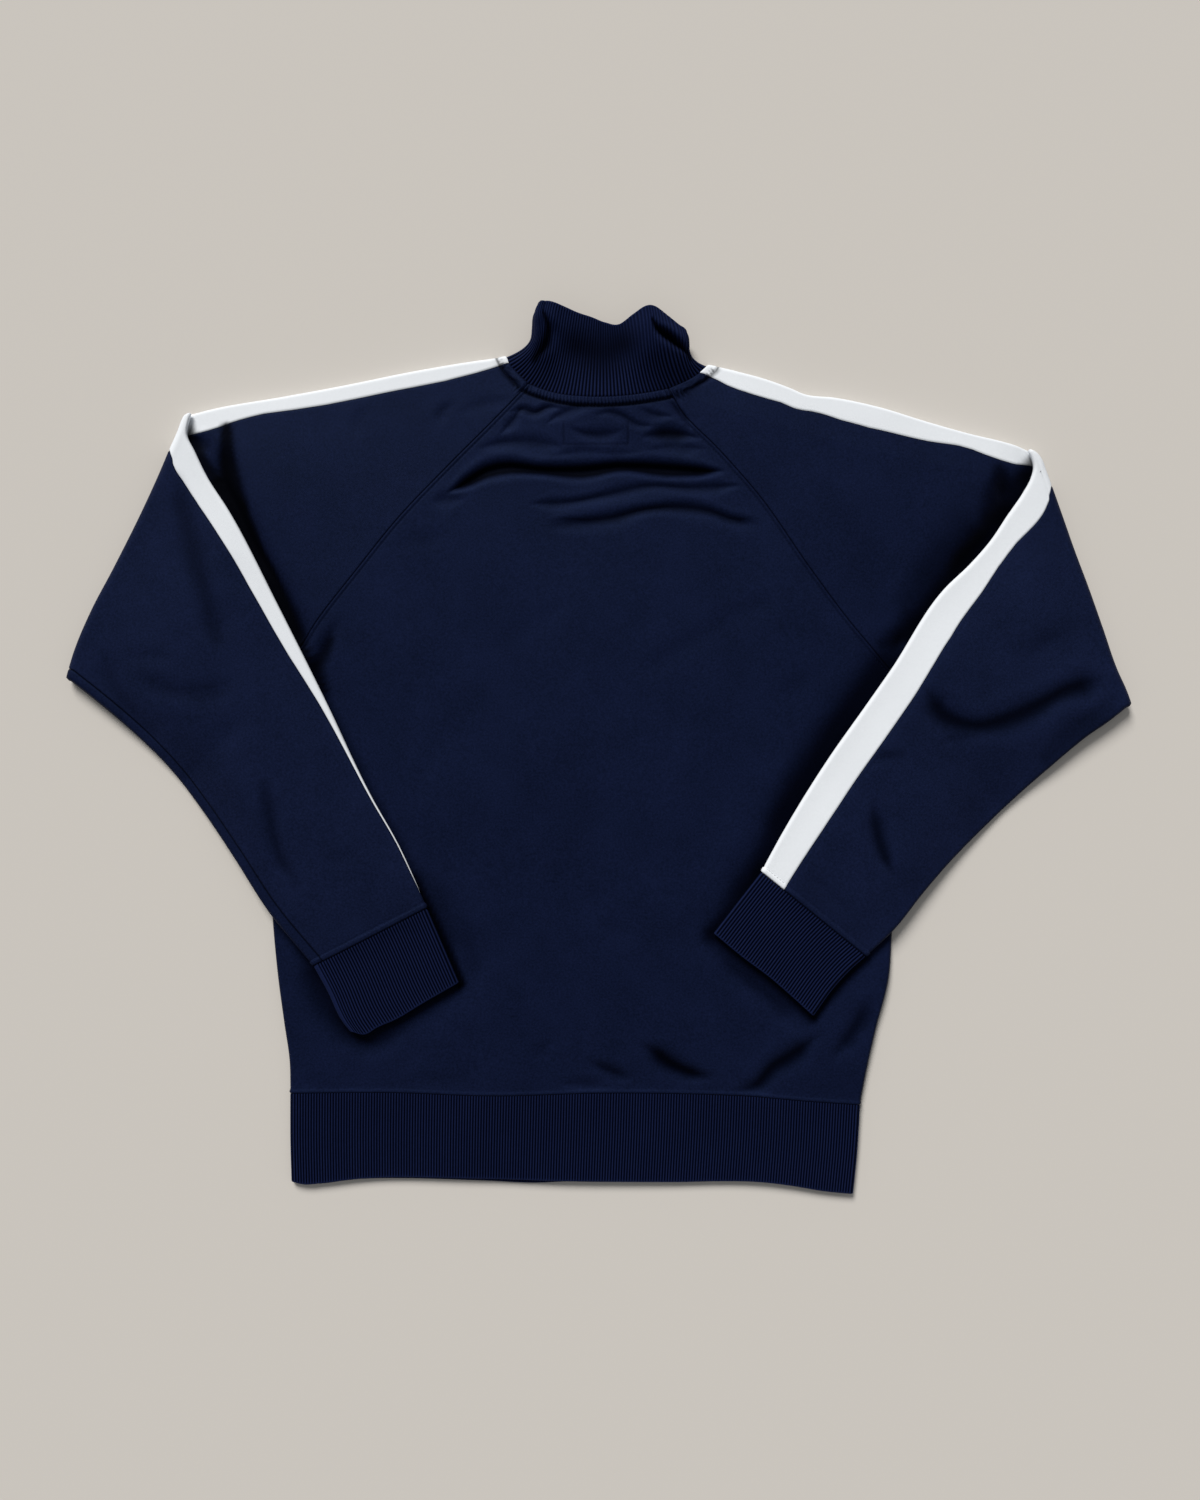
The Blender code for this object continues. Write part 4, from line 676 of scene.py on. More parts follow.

# %% [markdown]
# ## Finishes
#
# The tricot is knitted polyester: fine upright wales, almost no gloss and a faint bloom where
# light grazes it. Principled BSDF with sheen gives the bloom, and a wave along the piece's
# own UV map, which is laid out in metres of cloth, gives the wales. Each sheet also carries
# a painted shade value, which is 1 deep in a groove and 0 on open cloth: shade is painted
# there by taking the colour and the gloss down. The same recipe with other numbers
# makes the rib knit, the white stripe and the zip tape.


# %% Cloth finish
def knit(name, colour, gloss, roughness, sheen, wale, course, depth, mottle=0.12, dark=0.06):
    """wale and course are the knit's spacings across and along the cloth, in millimetres."""
    look = new_look(name, {
        "Roughness": roughness, "Specular IOR Level": 0.10, "Specular Tint": (*gloss, 1.0),
        "Sheen Weight": sheen, "Sheen Roughness": 0.45, "Sheen Tint": (0.62, 0.72, 1.0, 1.0)})
    tree = look.node_tree
    shader = tree.nodes["Principled BSDF"]

    def node(kind, output, values, **settings):
        """One output of a new node, whose inputs get numbers or other nodes' outputs."""
        made = tree.nodes.new("ShaderNode" + kind)
        for key, value in settings.items():
            setattr(made, key, value)
        for socket, value in values.items():
            if isinstance(value, bpy.types.NodeSocket):
                tree.links.new(value, made.inputs[socket])
            else:
                made.inputs[socket].default_value = value
        return made.outputs[output]

    def mix(factor, a, b):
        return node("Mix", "Result", {"Factor": factor, "A": a, "B": b}, data_type="RGBA")

    def shade(tone, share):
        return (*(c * share for c in tone), 1.0)

    cloth = node("UVMap", "UV", {}, uv_map="cloth")
    waves = [node("TexWave", "Fac", {"Scale": math.pi / 10.0 / (pitch * MM), "Distortion": 0.6,
                                     "Detail": 1.0, "Vector": cloth}, bands_direction=direction)
             for direction, pitch in (("X", wale), ("Y", course))]
    loops = node("Math", "Value", {0: waves[0], 1: waves[1]}, operation="MULTIPLY")
    bump = node("Bump", "Normal", {"Strength": 1.0, "Distance": depth * MM, "Height": loops})
    tree.links.new(bump, shader.inputs["Normal"])

    place = node("TexCoord", "Object", {})
    cloud = node("TexNoise", "Fac", {"Scale": 24.0, "Detail": 5.0, "Roughness": 0.68,
                                     "Vector": place})
    speck = node("TexNoise", "Fac", {"Scale": 620.0, "Detail": 2.0, "Vector": place})
    grain = node("Math", "Value", {0: speck, 1: 1.4, 2: -0.65}, operation="MULTIPLY_ADD")
    mixed = node("Math", "Value", {0: cloud, 1: 0.9, 2: grain}, operation="MULTIPLY_ADD",
                 use_clamp=True)
    blend = mix(mixed, shade(colour, 1 - mottle), shade(colour, 1 + mottle))
    # Painted shade: the colour and the gloss tint go dark where the sheet's painted shade value is
    # 1.
    painted_shade = node("Attribute", "Fac", {}, attribute_name="painted_shade")
    tree.links.new(mix(painted_shade, blend, shade(colour, dark)), shader.inputs["Base Color"])
    shine = mix(painted_shade, (*gloss, 1.0), shade(gloss, dark))
    tree.links.new(shine, shader.inputs["Specular Tint"])
    return look


BLUE_GLOSS, WHITE_GLOSS = (0.22, 0.42, 1.0), (1.0, 1.0, 1.0)
TRICOT = (0.55, 0.7, 0.06)     # wale, course and depth of the tricot
NAVY = knit("navy_tricot", (0.0041, 0.0065, 0.0236), BLUE_GLOSS, 0.55, 0.012, *TRICOT, 0.5)
# A copy of the navy tricot painted a shade lighter, as painted light on the folded sleeves' fronts
# that face the lamp.
NAVY_PAINTED_LIGHTER = knit("navy_tricot_painted_lighter", (0.0050, 0.0078, 0.0270), BLUE_GLOSS, 0.55, 0.014,
                   *TRICOT, 0.5)
NAVY_RIB = knit("navy_rib", (0.0070, 0.0112, 0.0440), BLUE_GLOSS, 0.7, 0.012, 0.9, 0.8, 0.10, 0.2)
WHITE = knit("white_tricot", (0.79, 0.82, 0.86), WHITE_GLOSS, 0.6, 0.05, *TRICOT, 0.02)
TAPE = knit("zip_tape", (0.0036, 0.0056, 0.0200), BLUE_GLOSS, 0.75, 0.012, 1.1, 0.6, 0.12)
print("finishes:", [m.name for m in (NAVY, NAVY_PAINTED_LIGHTER, NAVY_RIB, WHITE, TAPE)])

# %% [markdown]
# ## Cutting and draping one sheet
#
# Each panel starts as a flat grid from bmesh. Its points are then moved to the places
# that the formulas give, pushed out along the cloth's normal by the relief, and Solidify
# gives the wall its thickness inwards, so that the outer face keeps every detail. The UV
# map is the flat cloth in metres.

# %% The sheet builder
SEAM_DIP = 0.55        # how far a sewn edge sinks
SEAM_REACH = 0.8       # how far from the edge it does so
SEAM_PAINTED_SHADE = 0.6        # painted shade along a sewn edge
TAPE_WIDE = 0.011      # whole width of a zip tape in metres; the rest of it is in the seam


def lengths(points, axis):
    """Length along a grid's rows or columns, up to each point."""
    step = np.linalg.norm(np.diff(points, axis=axis), axis=-1)
    return np.concatenate([np.zeros_like(np.take(step, [0], axis)), np.cumsum(step, axis)], axis)


def to_end(points):
    """Length down each column from a point to the column's last one."""
    run = lengths(points, 0)
    return run[-1:] - run


def round_end(away, radius):
    """How far a surface has turned in at this distance from its round end."""
    inside = np.clip(radius - away, 0.0, radius)
    return radius - np.sqrt(radius**2 - inside**2)


def drape(name, mid, look, thick, out, relief=0.0, sewn=(1, 1, 1, 1), doubled=False, painted_shade=0.0):
    """A wall over a grid of points in its middle, rows down and columns across. out is 1 or
    -1 and says which side of the grid is the outer face. sewn says how much the first and
    last column and the first and last row sink into a seam. A doubled piece turns over at
    its last row and comes back inside to its first."""
    down, across = np.gradient(mid, axis=0), np.gradient(mid, axis=1)
    normal = np.cross(down, across) * out
    normal /= np.maximum(np.linalg.norm(normal, axis=-1, keepdims=True), 1e-9)
    run_x, run_y = lengths(mid, 1), lengths(mid, 0)
    lift = np.zeros(mid.shape[:2]) + relief
    painted_shade = np.zeros(mid.shape[:2]) + painted_shade
    for share, away in zip(sewn, (run_x, run_x[:, -1:] - run_x, run_y, run_y[-1:] - run_y)):
        lift -= share * SEAM_DIP * valley(away, SEAM_REACH)
        # Shade is painted along each sewn edge, except on the white stripe.
        if look is not WHITE:
            painted_shade = together(painted_shade, min(share * SEAM_PAINTED_SHADE, 0.95) * valley(away, SEAM_REACH))
    outer = mid + normal * (thick / 2 + lift)[..., None]
    outer[..., 2] = np.maximum(outer[..., 2], 0.0)      # nothing sinks into the floor
    quads = np.cross(outer[1:, 1:] - outer[:-1, :-1], outer[1:, :-1] - outer[:-1, 1:])
    area = float(np.linalg.norm(quads, axis=-1).sum() / 2) * MM * MM
    size = [float(run_x[:, -1].max()) * MM, float(run_y[-1].max()) * MM]
    if doubled:
        half = np.maximum(thick / 2 - round_end(run_y[-1:] - run_y, thick / 2), 0)
        inside = mid - normal * half[..., None]
        outer = np.concatenate([outer, inside[-2::-1], outer[:1]])
        painted_shade, run_x = (np.concatenate([a, a[-2::-1], a[:1]]) for a in (painted_shade, run_x))
        run_y = np.concatenate([run_y, 2 * run_y[-1:] - run_y[-2::-1], 2 * run_y[-1:]])

    rows, cols = outer.shape[:2]
    sheet = bmesh.new()
    bmesh.ops.create_grid(sheet, x_segments=cols - 1, y_segments=rows - 1, size=0.5)
    mesh = to_mesh(sheet, name, look)
    flat = np.empty(len(mesh.vertices) * 3)
    mesh.vertices.foreach_get("co", flat)
    flat = flat.reshape(-1, 3)
    col = np.rint((flat[:, 0] + 0.5) * (cols - 1)).astype(int)
    row = np.rint((flat[:, 1] + 0.5) * (rows - 1)).astype(int)
    if out > 0:
        col = cols - 1 - col
    mesh.vertices.foreach_set("co", (outer[row, col] * MM).astype(np.float32).ravel())
    corner = np.empty(len(mesh.loops), int)
    mesh.loops.foreach_get("vertex_index", corner)
    chart = np.stack([run_x[row, col] - run_x[row, cols // 2], run_y[row, col]], axis=-1) * MM
    uv = mesh.uv_layers.new(name="cloth")
    uv.uv.foreach_set("vector", chart[corner].astype(np.float32).ravel())
    # The painted shade goes to the mesh as a point attribute.
    deep = painted_shade[row, col].astype(np.float32)
    mesh.attributes.new("painted_shade", "FLOAT", "POINT").data.foreach_set("value", deep)
    if doubled:
        sheet = bmesh.new()
        sheet.from_mesh(mesh)
        bmesh.ops.remove_doubles(sheet, verts=sheet.verts, dist=1e-6)
        open_edges = [edge for edge in sheet.edges if edge.is_boundary]
        bmesh.ops.holes_fill(sheet, edges=open_edges, sides=0)
        sheet.to_mesh(mesh)
        sheet.free()
    mesh.shade_smooth()
    piece = add_object(name, mesh)
    if not doubled:
        wall = piece.modifiers.new("wall", "SOLIDIFY")
        wall.thickness = thick * MM
        wall.offset = -1.0
    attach(piece, "jacket")
    print(f"{name}: {rows} x {cols} points, {size[0]:.3f} x {size[1]:.3f} m, {area:.4f} m2")
    return piece, outer, size, area


def declare(made, nodes):
    """Hides the frame's nodes that the piece stands for."""
    piece, _, (wide, long), area = made
    wide = max(wide, TAPE_WIDE)
    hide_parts(*nodes)


def crease_painted_shade(height, shallow=0.15, deep=3.7):
    """Shade painted in a crease: 0 where it is shallow and nearly 1 where it is deep."""
    return 0.95 * smooth((-height - shallow) / (deep - shallow))


EDGE_STEPS = np.array([0.0, 0.4, 0.8, 1.3, 2.0, 3.0, 4.5])    # columns close to a sewn edge
EDGE_ROOM = 9.4        # width that a panel needs for the steps of both edges


def spread(start, end, count):
    """Columns between two edges, one row of them for each row: close at both edges."""
    start, end = start[:, None], end[:, None]
    sign = np.sign(end - start)
    room = np.minimum(1.0, np.abs(end - start) / EDGE_ROOM)
    inner = np.linspace(0.0, 1.0, count)[None, 1:-1]
    first = start + sign * room * EDGE_STEPS
    last = end - sign * room * EDGE_STEPS[::-1]
    return np.concatenate([first, first[:, -1:] + (last[:, :1] - first[:, -1:]) * inner, last], 1)


print("a sewn edge sinks", SEAM_DIP, "mm")

# %% [markdown]
# ## Back panel
#
# The back is the broad shield between the raglan seams. Below the arms its sides roll down
# to meet the fronts. Its rows are closest at the neck tape and the creases below it.


# %% Back panel
SIDE_SHARE = 0.1       # how much of each half's width in w rolls down at the side
BACK_COLUMNS = 190     # evenly spaced, between the closer ones at both edges


def side_curve(side):
    return joined(curve(RAGLAN[side]), curve(SIDE[side]), UNDER_ARM)


back_plan = coons(side_curve("left"), side_curve("right"), curve(NECK_ARC), curve(HEM_SEAM))
down_knots = np.linspace(0.0, 1.0, 81)
across_ends = np.linspace(0.0, 1.0, 33)
back_widths = np.array([along(back_plan(v, across_ends))[-1] for v in down_knots])
BACK_LONG = 589.0      # length of the back in plan, from the neck seam to the hem seam


def back_point(v, w):
    """v runs from the neck to the hem and w from -1 to 1 across."""
    width = np.interp(v, down_knots, back_widths)
    rolled = smooth((v - UNDER_ARM) / 0.03)
    turn = np.clip((1.0 - np.abs(w)) / SIDE_SHARE, 0.0, 1.0) * math.pi / 2
    flat = np.clip((0.9 - np.abs(w)) / 0.9, 0.0, 1.0)
    lead = CLOTH / 2 * smooth((v - UNDER_ARM + 0.03) / 0.03)
    edge_share = (lead + SIDE_ROLL * (1 - np.cos(turn))) / width
    share = edge_share + flat * (0.5 - edge_share)
    xy = back_plan(v, np.where(w < 0, share, 1.0 - share))
    top = back_mid(xy)
    rim = CLOTH + 0.1
    return raised(xy, top - rolled * (top - rim) * (1 - np.sin(turn)))


# rows: millimetres from the neck seam, closest over the tape and the creases below it
back_rows = np.concatenate([steps((0, 11, 16), (11, 125, 90), (125, 490, 66), (490, 578, 40))[:-1],
                            BACK_LONG - EDGE_STEPS[::-1] * 2])[:, None] / BACK_LONG
widths = np.interp(back_rows, down_knots, back_widths)
close = np.array([0.7, 1.3, 1.9, 2.5, 3.2, 4.2, 5.6, 7.5])
close = 0.9 - 0.9 * close / (widths / 2 - SIDE_ROLL)
inner = close[:, -1:] * np.linspace(1.0, -1.0, BACK_COLUMNS)[None, 1:-1]
side_steps = np.repeat(np.linspace(1.0, 0.9, 6)[None, :], len(back_rows), 0)
back_cols = -np.concatenate([side_steps, close, inner, -close[:, ::-1], -side_steps[:, ::-1]], 1)
back_mids = back_point(back_rows, back_cols)
plan = back_mids[..., :2]
hem_away = (1.0 - back_rows) * BACK_LONG
upper = smooth((UNDER_ARM + 0.01 - back_rows) / 0.02)
back_relief = (neck_relief(plan) + label_relief(plan) + 0.9 * valley(hem_away - 1.4, 1.0)
               + upper * raglan_relief(plan))
# Shade painted in the creases, around the folded sleeves and along the seams.
back_painted_shade = together(crease_painted_shade(crease_height(plan, LOWER_FOLDS)), contact_painted_shade(plan), seam_painted_shade(plan))
back = drape("back_cloth", back_mids, NAVY, CLOTH, 1, back_relief, (1, 1, 1, 0.3),
             painted_shade=back_painted_shade)
declare(back, ["back_panel"])

# %% [markdown]
# ## Fronts
#
# The two fronts are the lowest layer. They lie flat on the floor from the raglan seams
# to the zip.

# %% Front panels
ZIP_HEM, ZIP_END = (-18.6, -292.0), (-19.4, -364.5)   # the zip at the hem's seam and its end
FRONT_EDGE = 8.3       # from the middle of the zip to the edge of a front
FRONT_GRID = (70, 36)  # rows and columns; the fronts are plain, so a few are enough
SIDES = (("left", -1), ("right", 1))
for side, sign in SIDES:
    hem = HEM_SEAM[:4] if sign < 0 else tuple(reversed(HEM_SEAM[3:]))
    hem_zip = (ZIP_HEM[0] + sign * FRONT_EDGE, -290.7)
    corners = [p for p in hem if (p[0] - hem_zip[0]) * sign > 20.0]
    front_plan = coons(side_curve(side), curve((FRONT_NECK[side][-1], hem_zip)),
                       curve(FRONT_NECK[side]), curve((*corners, hem_zip)))
    t, q = np.meshgrid(np.linspace(0.001, 0.9995, FRONT_GRID[0]),
                       np.linspace(0.0015, 1.0, FRONT_GRID[1]), indexing="ij")
    front = drape(f"front_{side}_cloth", raised(front_plan(t, q), FLOOR_MID), NAVY, CLOTH, sign,
                  sewn=(0, 0, 0, 0))
    declare(front, [f"front_{side}"])

# %% [markdown]
# ## Sleeves
#
# A sleeve is one flattened tube: it runs out from the raglan seam, turns over at the
# fold and comes back across the jacket to its cuff. One formula describes the tube.
# Its place t says how far along the sleeve a point lies, and its length s how far round
# it from the over-arm edge. Front half, back half and stripe are strips of that tube.


# %% The sleeve as a tube
CORNER = 0.07          # share of the fold's line over which its corner turns


class Sleeve:
    """t runs 0 to 1 from the raglan seam to the fold, 1 to 2 round the fold, 2 to 3 from
    the fold to the cuff's seam and 3 to 4 down the cuff."""

    def __init__(self, name):
        plan = SLEEVE_PLAN[name]
        self.side = plan["side"]
        self.fold_line = curve(plan["fold"])
        last, end = np.array(plan["over_in"][-2:])
        self.lead = (end - last) / np.linalg.norm(end - last)
        ends = self.fold_axis(np.array([0.0, 1.0]))
        neck, raglan = NECK_EDGE[name], RAGLAN[name]
        neck_long, raglan_long = along(neck)[-1], along(raglan)[-1]
        start = joined(curve(neck), curve(raglan), neck_long / (neck_long + raglan_long))
        self.inner = coons(curve((*plan["over_in"], ends[0])), curve((*plan["under_in"], ends[1])),
                           start, self.fold_axis)
        seam = curve((plan["over_out"][-1], plan["under_out"][-1]))
        self.outer = coons(curve((ends[0], *plan["over_out"])),
                           curve((ends[1], *plan["under_out"])), self.fold_axis, seam)
        self.cuff = coons(curve(plan["cuff_over"]), curve(plan["cuff_under"]), seam,
                          curve(plan["cuff_end"]))
        self.knots = np.linspace(0.0, 4.0, 121)
        across = np.linspace(0.0, 1.0, 41)
        self.widths = np.array([along(self.plan(t, across))[-1] for t in self.knots])

    def outward(self, q):
        """Which way the fold bulges: square to its line, but along the arm at its corner."""
        run = self.fold_line(np.minimum(q + 0.01, 1.0)) - self.fold_line(np.maximum(q - 0.01, 0.0))
        run /= np.linalg.norm(run, axis=-1, keepdims=True)
        square = self.side * np.stack([-run[..., 1], run[..., 0]], axis=-1)
        share = (1.0 - smooth(q / CORNER))[..., None]
        out = share * self.lead + (1.0 - share) * square
        return out / np.linalg.norm(out, axis=-1, keepdims=True)

    def fold_axis(self, q):
        q = np.asarray(q, float)
        return self.fold_line(q) - self.outward(q) * (FOLD_OUTER + CLOTH / 2)

    def plan(self, t, q):
        t, q = np.broadcast_arrays(np.asarray(t, float), np.asarray(q, float))
        out = self.inner(np.clip(t, 0, 1), q)
        out = np.where((t > 1)[..., None], self.fold_axis(q), out)
        out = np.where((t > 2)[..., None], self.outer(np.clip(t - 2, 0, 1), q), out)
        return np.where((t > 3)[..., None], self.cuff(np.clip(t - 3, 0, 1), q), out)

    def width(self, t):
        return np.interp(t, self.knots, self.widths)

    def layers(self, t, w):
        """Middle of the front cloth and of the back cloth at w from the over-arm edge."""
        q = w / self.width(t)
        xy = self.plan(t, q)
        low, rest = back_mid(xy), rest_mid(xy)
        turn = np.clip(t - 1.0, 0.0, 1.0) * math.pi - math.pi / 2
        swell = 2.2 * smooth((t - 2.0) / 0.25) * smooth((3.15 - t) / 0.3)
        swell = swell * smooth(q / 0.3) * smooth((1.0 - q) / 0.3)
        folded = (crease_height(xy, UPPER_FOLDS) + ripple(xy * 1.3 + 90.0)) * smooth((t - 2) / 0.1)
        top = rest + LAYER + swell + folded * smooth((3.05 - t) / 0.1)
        outward = self.outward(np.clip(q, 0, 1))
        bulge = (np.cos(turn) * ((t > 1) & (t < 2)))[..., None] * outward
        back_z = (low + rest) / 2 + (rest - low) / 2 * np.sin(turn)
        front_z = (FLOOR_MID + top) / 2 + (top - FLOOR_MID) / 2 * np.sin(turn)
        return raised(xy + FOLD_OUTER * bulge, front_z), raised(xy + FOLD_INNER * bulge, back_z)

    def point(self, t, s, half=CLOTH / 2):
        """A point at length s round the tube. Positive s runs over the front cloth."""
        t, s = np.broadcast_arrays(np.asarray(t, float), np.asarray(s, float))
        run = np.abs(s)
        far = self.width(t) - half - EDGE
        flat = half + EDGE + run - EDGE_ARC
        near_turn = np.clip(run / EDGE, 0.0, math.pi / 2)
        past = np.maximum(flat - far, 0.0)
        far_turn = np.clip(past / EDGE, 0.0, math.pi)
        w = np.where(run < EDGE_ARC, half + EDGE * (1 - np.cos(near_turn)), np.minimum(flat, far))
        w = np.where(past > 0, far + EDGE * np.sin(far_turn), w)
        w = w - np.maximum(past - math.pi * EDGE, 0.0)
        side = np.sign(s) * np.sin(near_turn) * np.cos(far_turn)
        front, rear = self.layers(t, w)
        share = (0.5 + 0.5 * side)[..., None]
        return share * front + (1 - share) * rear

    def reach(self, t, half=CLOTH / 2):
        """Length round the tube from the over-arm edge to the under-arm edge."""
        return self.width(t) - 2 * half - 2 * EDGE + 2 * EDGE_ARC


sleeves = {name: Sleeve(name) for name in ("left", "right")}
for name, sleeve in sleeves.items():
    print(name, "sleeve at its fold:", round(float(sleeve.width(1.0))), "mm wide")

# %% [markdown]
# The rows lie closer at the raglan seam, round the fold and at the cuff. Above the cuff the
# allowance is topstitched 4.6 mm from the seam, which leaves a raised band.

# %% Sleeve panels and stripes
CUFF_BAND = 4.6        # from the cuff's seam to the topstitches above it
SEAM_LEAST = 4.0       # from the under-arm edge to the under-arm seam, at the raglan seam
SEAM_AT_CUFF = {"left": 10.0, "right": -4.0}   # the same from the fold on; minus is underneath
UNDER_ARM_SEAM = 1.4   # how much deeper than the others the under-arm seam lies
NEAR_NECK, NEAR_CUFF = 0.039, 2.965    # places before and after which the rows lie closer
# each strip's rows are close where it shows and wide apart where it lies underneath: their
# numbers at the collar, on the way out and on the way back, then the number of columns
STRIPS = (("stripe", (14, 78, 135), 28, WHITE, "white_tricot"),
          # the sleeve fronts take the copy of the navy painted a shade lighter
          ("sleeve_front", (6, 32, 135), 96, NAVY_PAINTED_LIGHTER, "navy_tricot"),
          ("sleeve_back", (14, 78, 100), 84, NAVY, "navy_tricot"))


def strip_edges(label, name, sleeve, t):
    """Where a strip begins and ends round the tube, at each place along the sleeve."""
    on_back = np.interp(t, *np.array(STRIPE_ON_BACK[name]).T)
    on_front = np.interp(t, *np.array(STRIPE_ON_FRONT[name]).T)
    at_cuff = SEAM_AT_CUFF[name]
    seam = SEAM_LEAST + (abs(at_cuff) - SEAM_LEAST) * np.clip(t, 0.0, 1.0)
    seam = seam if at_cuff > 0 else -seam
    reach = sleeve.reach(t)
    return {"stripe": (-on_back, on_front), "sleeve_front": (on_front, reach - seam),
            "sleeve_back": (-on_back, -(reach + seam))}[label]


def strip_relief(label, xy, t, s, to_cuff):
    """The raised band above the cuff, and on the way out the end of the neck tape."""
    band = (0.8 * smooth(to_cuff / 1.0) * smooth((CUFF_BAND + 0.6 - to_cuff) / 1.2)
            - 0.3 * valley(to_cuff - CUFF_BAND - 0.4, 0.8))
    if label != "stripe":
        return band + np.where((s < EDGE_ARC) & (t < 1.0), neck_relief(xy), 0.0)
    away, _ = neck_place(xy)
    return band + (t < 1.0) * (0.35 * smooth((BAND - away) / 1.2)
                               - 0.3 * valley(away - BAND - 0.2, 0.55))


def strip_painted_shade(xy, t, s):
    """Shade painted on the way out and on the part that is folded over the back."""
    out = together(crease_painted_shade(crease_height(xy, LOWER_FOLDS)), contact_painted_shade(xy), neck_painted_shade(xy))
    folded = together(crease_painted_shade(crease_height(xy, UPPER_FOLDS)), cleft_painted_shade(xy, SLEEVE_PAINTED_SHADE))
    folded = np.clip(t - 2.0, 0.0, 0.1) * 10 * folded
    return np.select([(s < EDGE_ARC) & (t < 1.0), (s > 0) & (t > 2.0)], [out, folded], 0.0)


cuff_rows = []
for name, sleeve in sleeves.items():
    for label, (collar_end, way_out, way_back), count, look, slot in STRIPS:
        t = steps((0.0, NEAR_NECK, collar_end), (NEAR_NECK, 1.0, way_out), (1.0, 2.0, 15),
                  (2.0, NEAR_CUFF, way_back), (NEAR_CUFF, 3.0, 16))
        s = spread(*strip_edges(label, name, sleeve, t), count)
        t = t[:, None]
        mids = sleeve.point(t, s)
        xy, to_cuff = mids[..., :2], to_end(mids)
        out = sleeve.side * (-1 if label == "sleeve_back" else 1)
        sewn = (1, UNDER_ARM_SEAM, 1, 0.4) if label == "sleeve_front" else (1, 1, 1, 1)
        made = drape(f"{label}_{name}_cloth", mids, look, CLOTH, out,
                     strip_relief(label, xy, t, s, to_cuff), sewn, painted_shade=strip_painted_shade(xy, t, s))
        declare(made, [f"{label}_{name}"])
        cuff_rows.append((made[1], to_cuff))

# %% [markdown]
# ## Rib knit: cuffs, hem and collar
#
# Rib knit stands in rounded cords with narrow grooves between. A cosine along the band
# makes them, and a piece of band is always cut between two grooves. The end of a doubled
# rib is a fold, so its last millimetre rolls in.

# %% Rib profile
RIB_RISE = 0.8
RIB_HALF = RIB_WALL / 2
RIB_POINTS = 6         # points across a rib
TURN_IN = np.array([0.034, 0.018, 0.009, 0.004, 0.0012, 0.0])     # rows before a folded end


def ribs(share, count):
    """1 in a groove and 0 on a rib's crown, for a share of a band with count ribs."""
    return 1.0 - (0.5 - 0.5 * np.cos(2 * math.pi * count * share)) ** 0.8


def knit_band(name, node, mids, groove, out, sewn, groove_shade_share=1.0, cleft_shade_painted=0.0):
    """Drape a doubled band with its ribs, which run out at the folded end, and hide its node.
    Shade is painted in the grooves, to the share given for them, and in the clefts given with
    them."""
    ends = to_end(mids)
    groove = groove * smooth(ends / 2.0)
    relief = -RIB_RISE * groove - round_end(ends, RIB_HALF)
    painted_shade = together(0.97 * smooth((groove - 0.08) / 0.62) * groove_shade_share, cleft_shade_painted)
    made = drape(name, mids, NAVY_RIB, RIB_WALL, out, relief, (0, 0, sewn, 0), True, painted_shade)
    declare(made, [node])


print("a rib stands", RIB_RISE, "mm over its groove")

# %% Cuffs
CUFF_RIBS = 43
PLAIN_EDGE = 7.0       # the left cuff's ribs fade this near to its under-arm edge
for name, sleeve in sleeves.items():
    t = np.concatenate([3.0 + np.array([0.0, 0.006, 0.014, 0.026]), np.linspace(3.045, 3.95, 10),
                        4.0 - TURN_IN])
    share = np.linspace(0.0, 2.0, 2 * CUFF_RIBS * RIB_POINTS + 1)
    reach = sleeve.reach(t, RIB_HALF)
    s = reach[:, None] * np.where(share <= 1.0, share, share - 2.0)[None, :]
    mids = sleeve.point(t[:, None], s, RIB_HALF)
    mids[:, -1] = mids[:, 0]
    plain = smooth(np.abs(1.0 - share) * reach.mean() / PLAIN_EDGE) if name == "left" else 1.0
    knit_band(f"cuff_{name}_rib", f"cuff_{name}", mids, ribs(share, CUFF_RIBS) * plain,
              sleeve.side, 1.2)

# %% [markdown]
# The hem is one band that runs from the zip round the left side, over the back and round
# the right side to the zip again.

# %% Hem band
HEM_RIBS = 208
hem_left = curve((HEM_SEAM[0], (-260.0, -330.0), HEM_BACK_END[0]))
hem_right = curve((HEM_SEAM[-1], (217.5, -340.0), HEM_BACK_END[-1]))
hem_over = coons(hem_left, hem_right, curve(HEM_SEAM), curve(HEM_BACK_END))
hem_width = along(HEM_SEAM)[-1]


def hem_front(sign, edge):
    """The patch of the band from one side to the zip, and its length."""
    zip_seam = (ZIP_HEM[0] + sign * FRONT_EDGE, ZIP_HEM[1] + 1.0)
    zip_end = (ZIP_END[0] + sign * FRONT_EDGE, ZIP_END[1] - 1.0)
    seam = [p for p in HEM_SEAM if (p[0] - zip_seam[0]) * sign > 9.0][::-sign]
    end = [p for p in HEM_FRONT_END if (p[0] - zip_end[0]) * sign > 9.0][::-sign]
    patch = coons(edge, curve((zip_seam, zip_end)), curve((*seam, zip_seam)),
                  curve((*end, zip_end)))
    return patch, along((*seam, zip_seam))[-1]


under_left, to_zip = hem_front(-1, hem_left)
under_right, from_zip = hem_front(1, hem_right)
hem_reach = hem_width - 2 * RIB_HALF - 2 * EDGE + 2 * EDGE_ARC


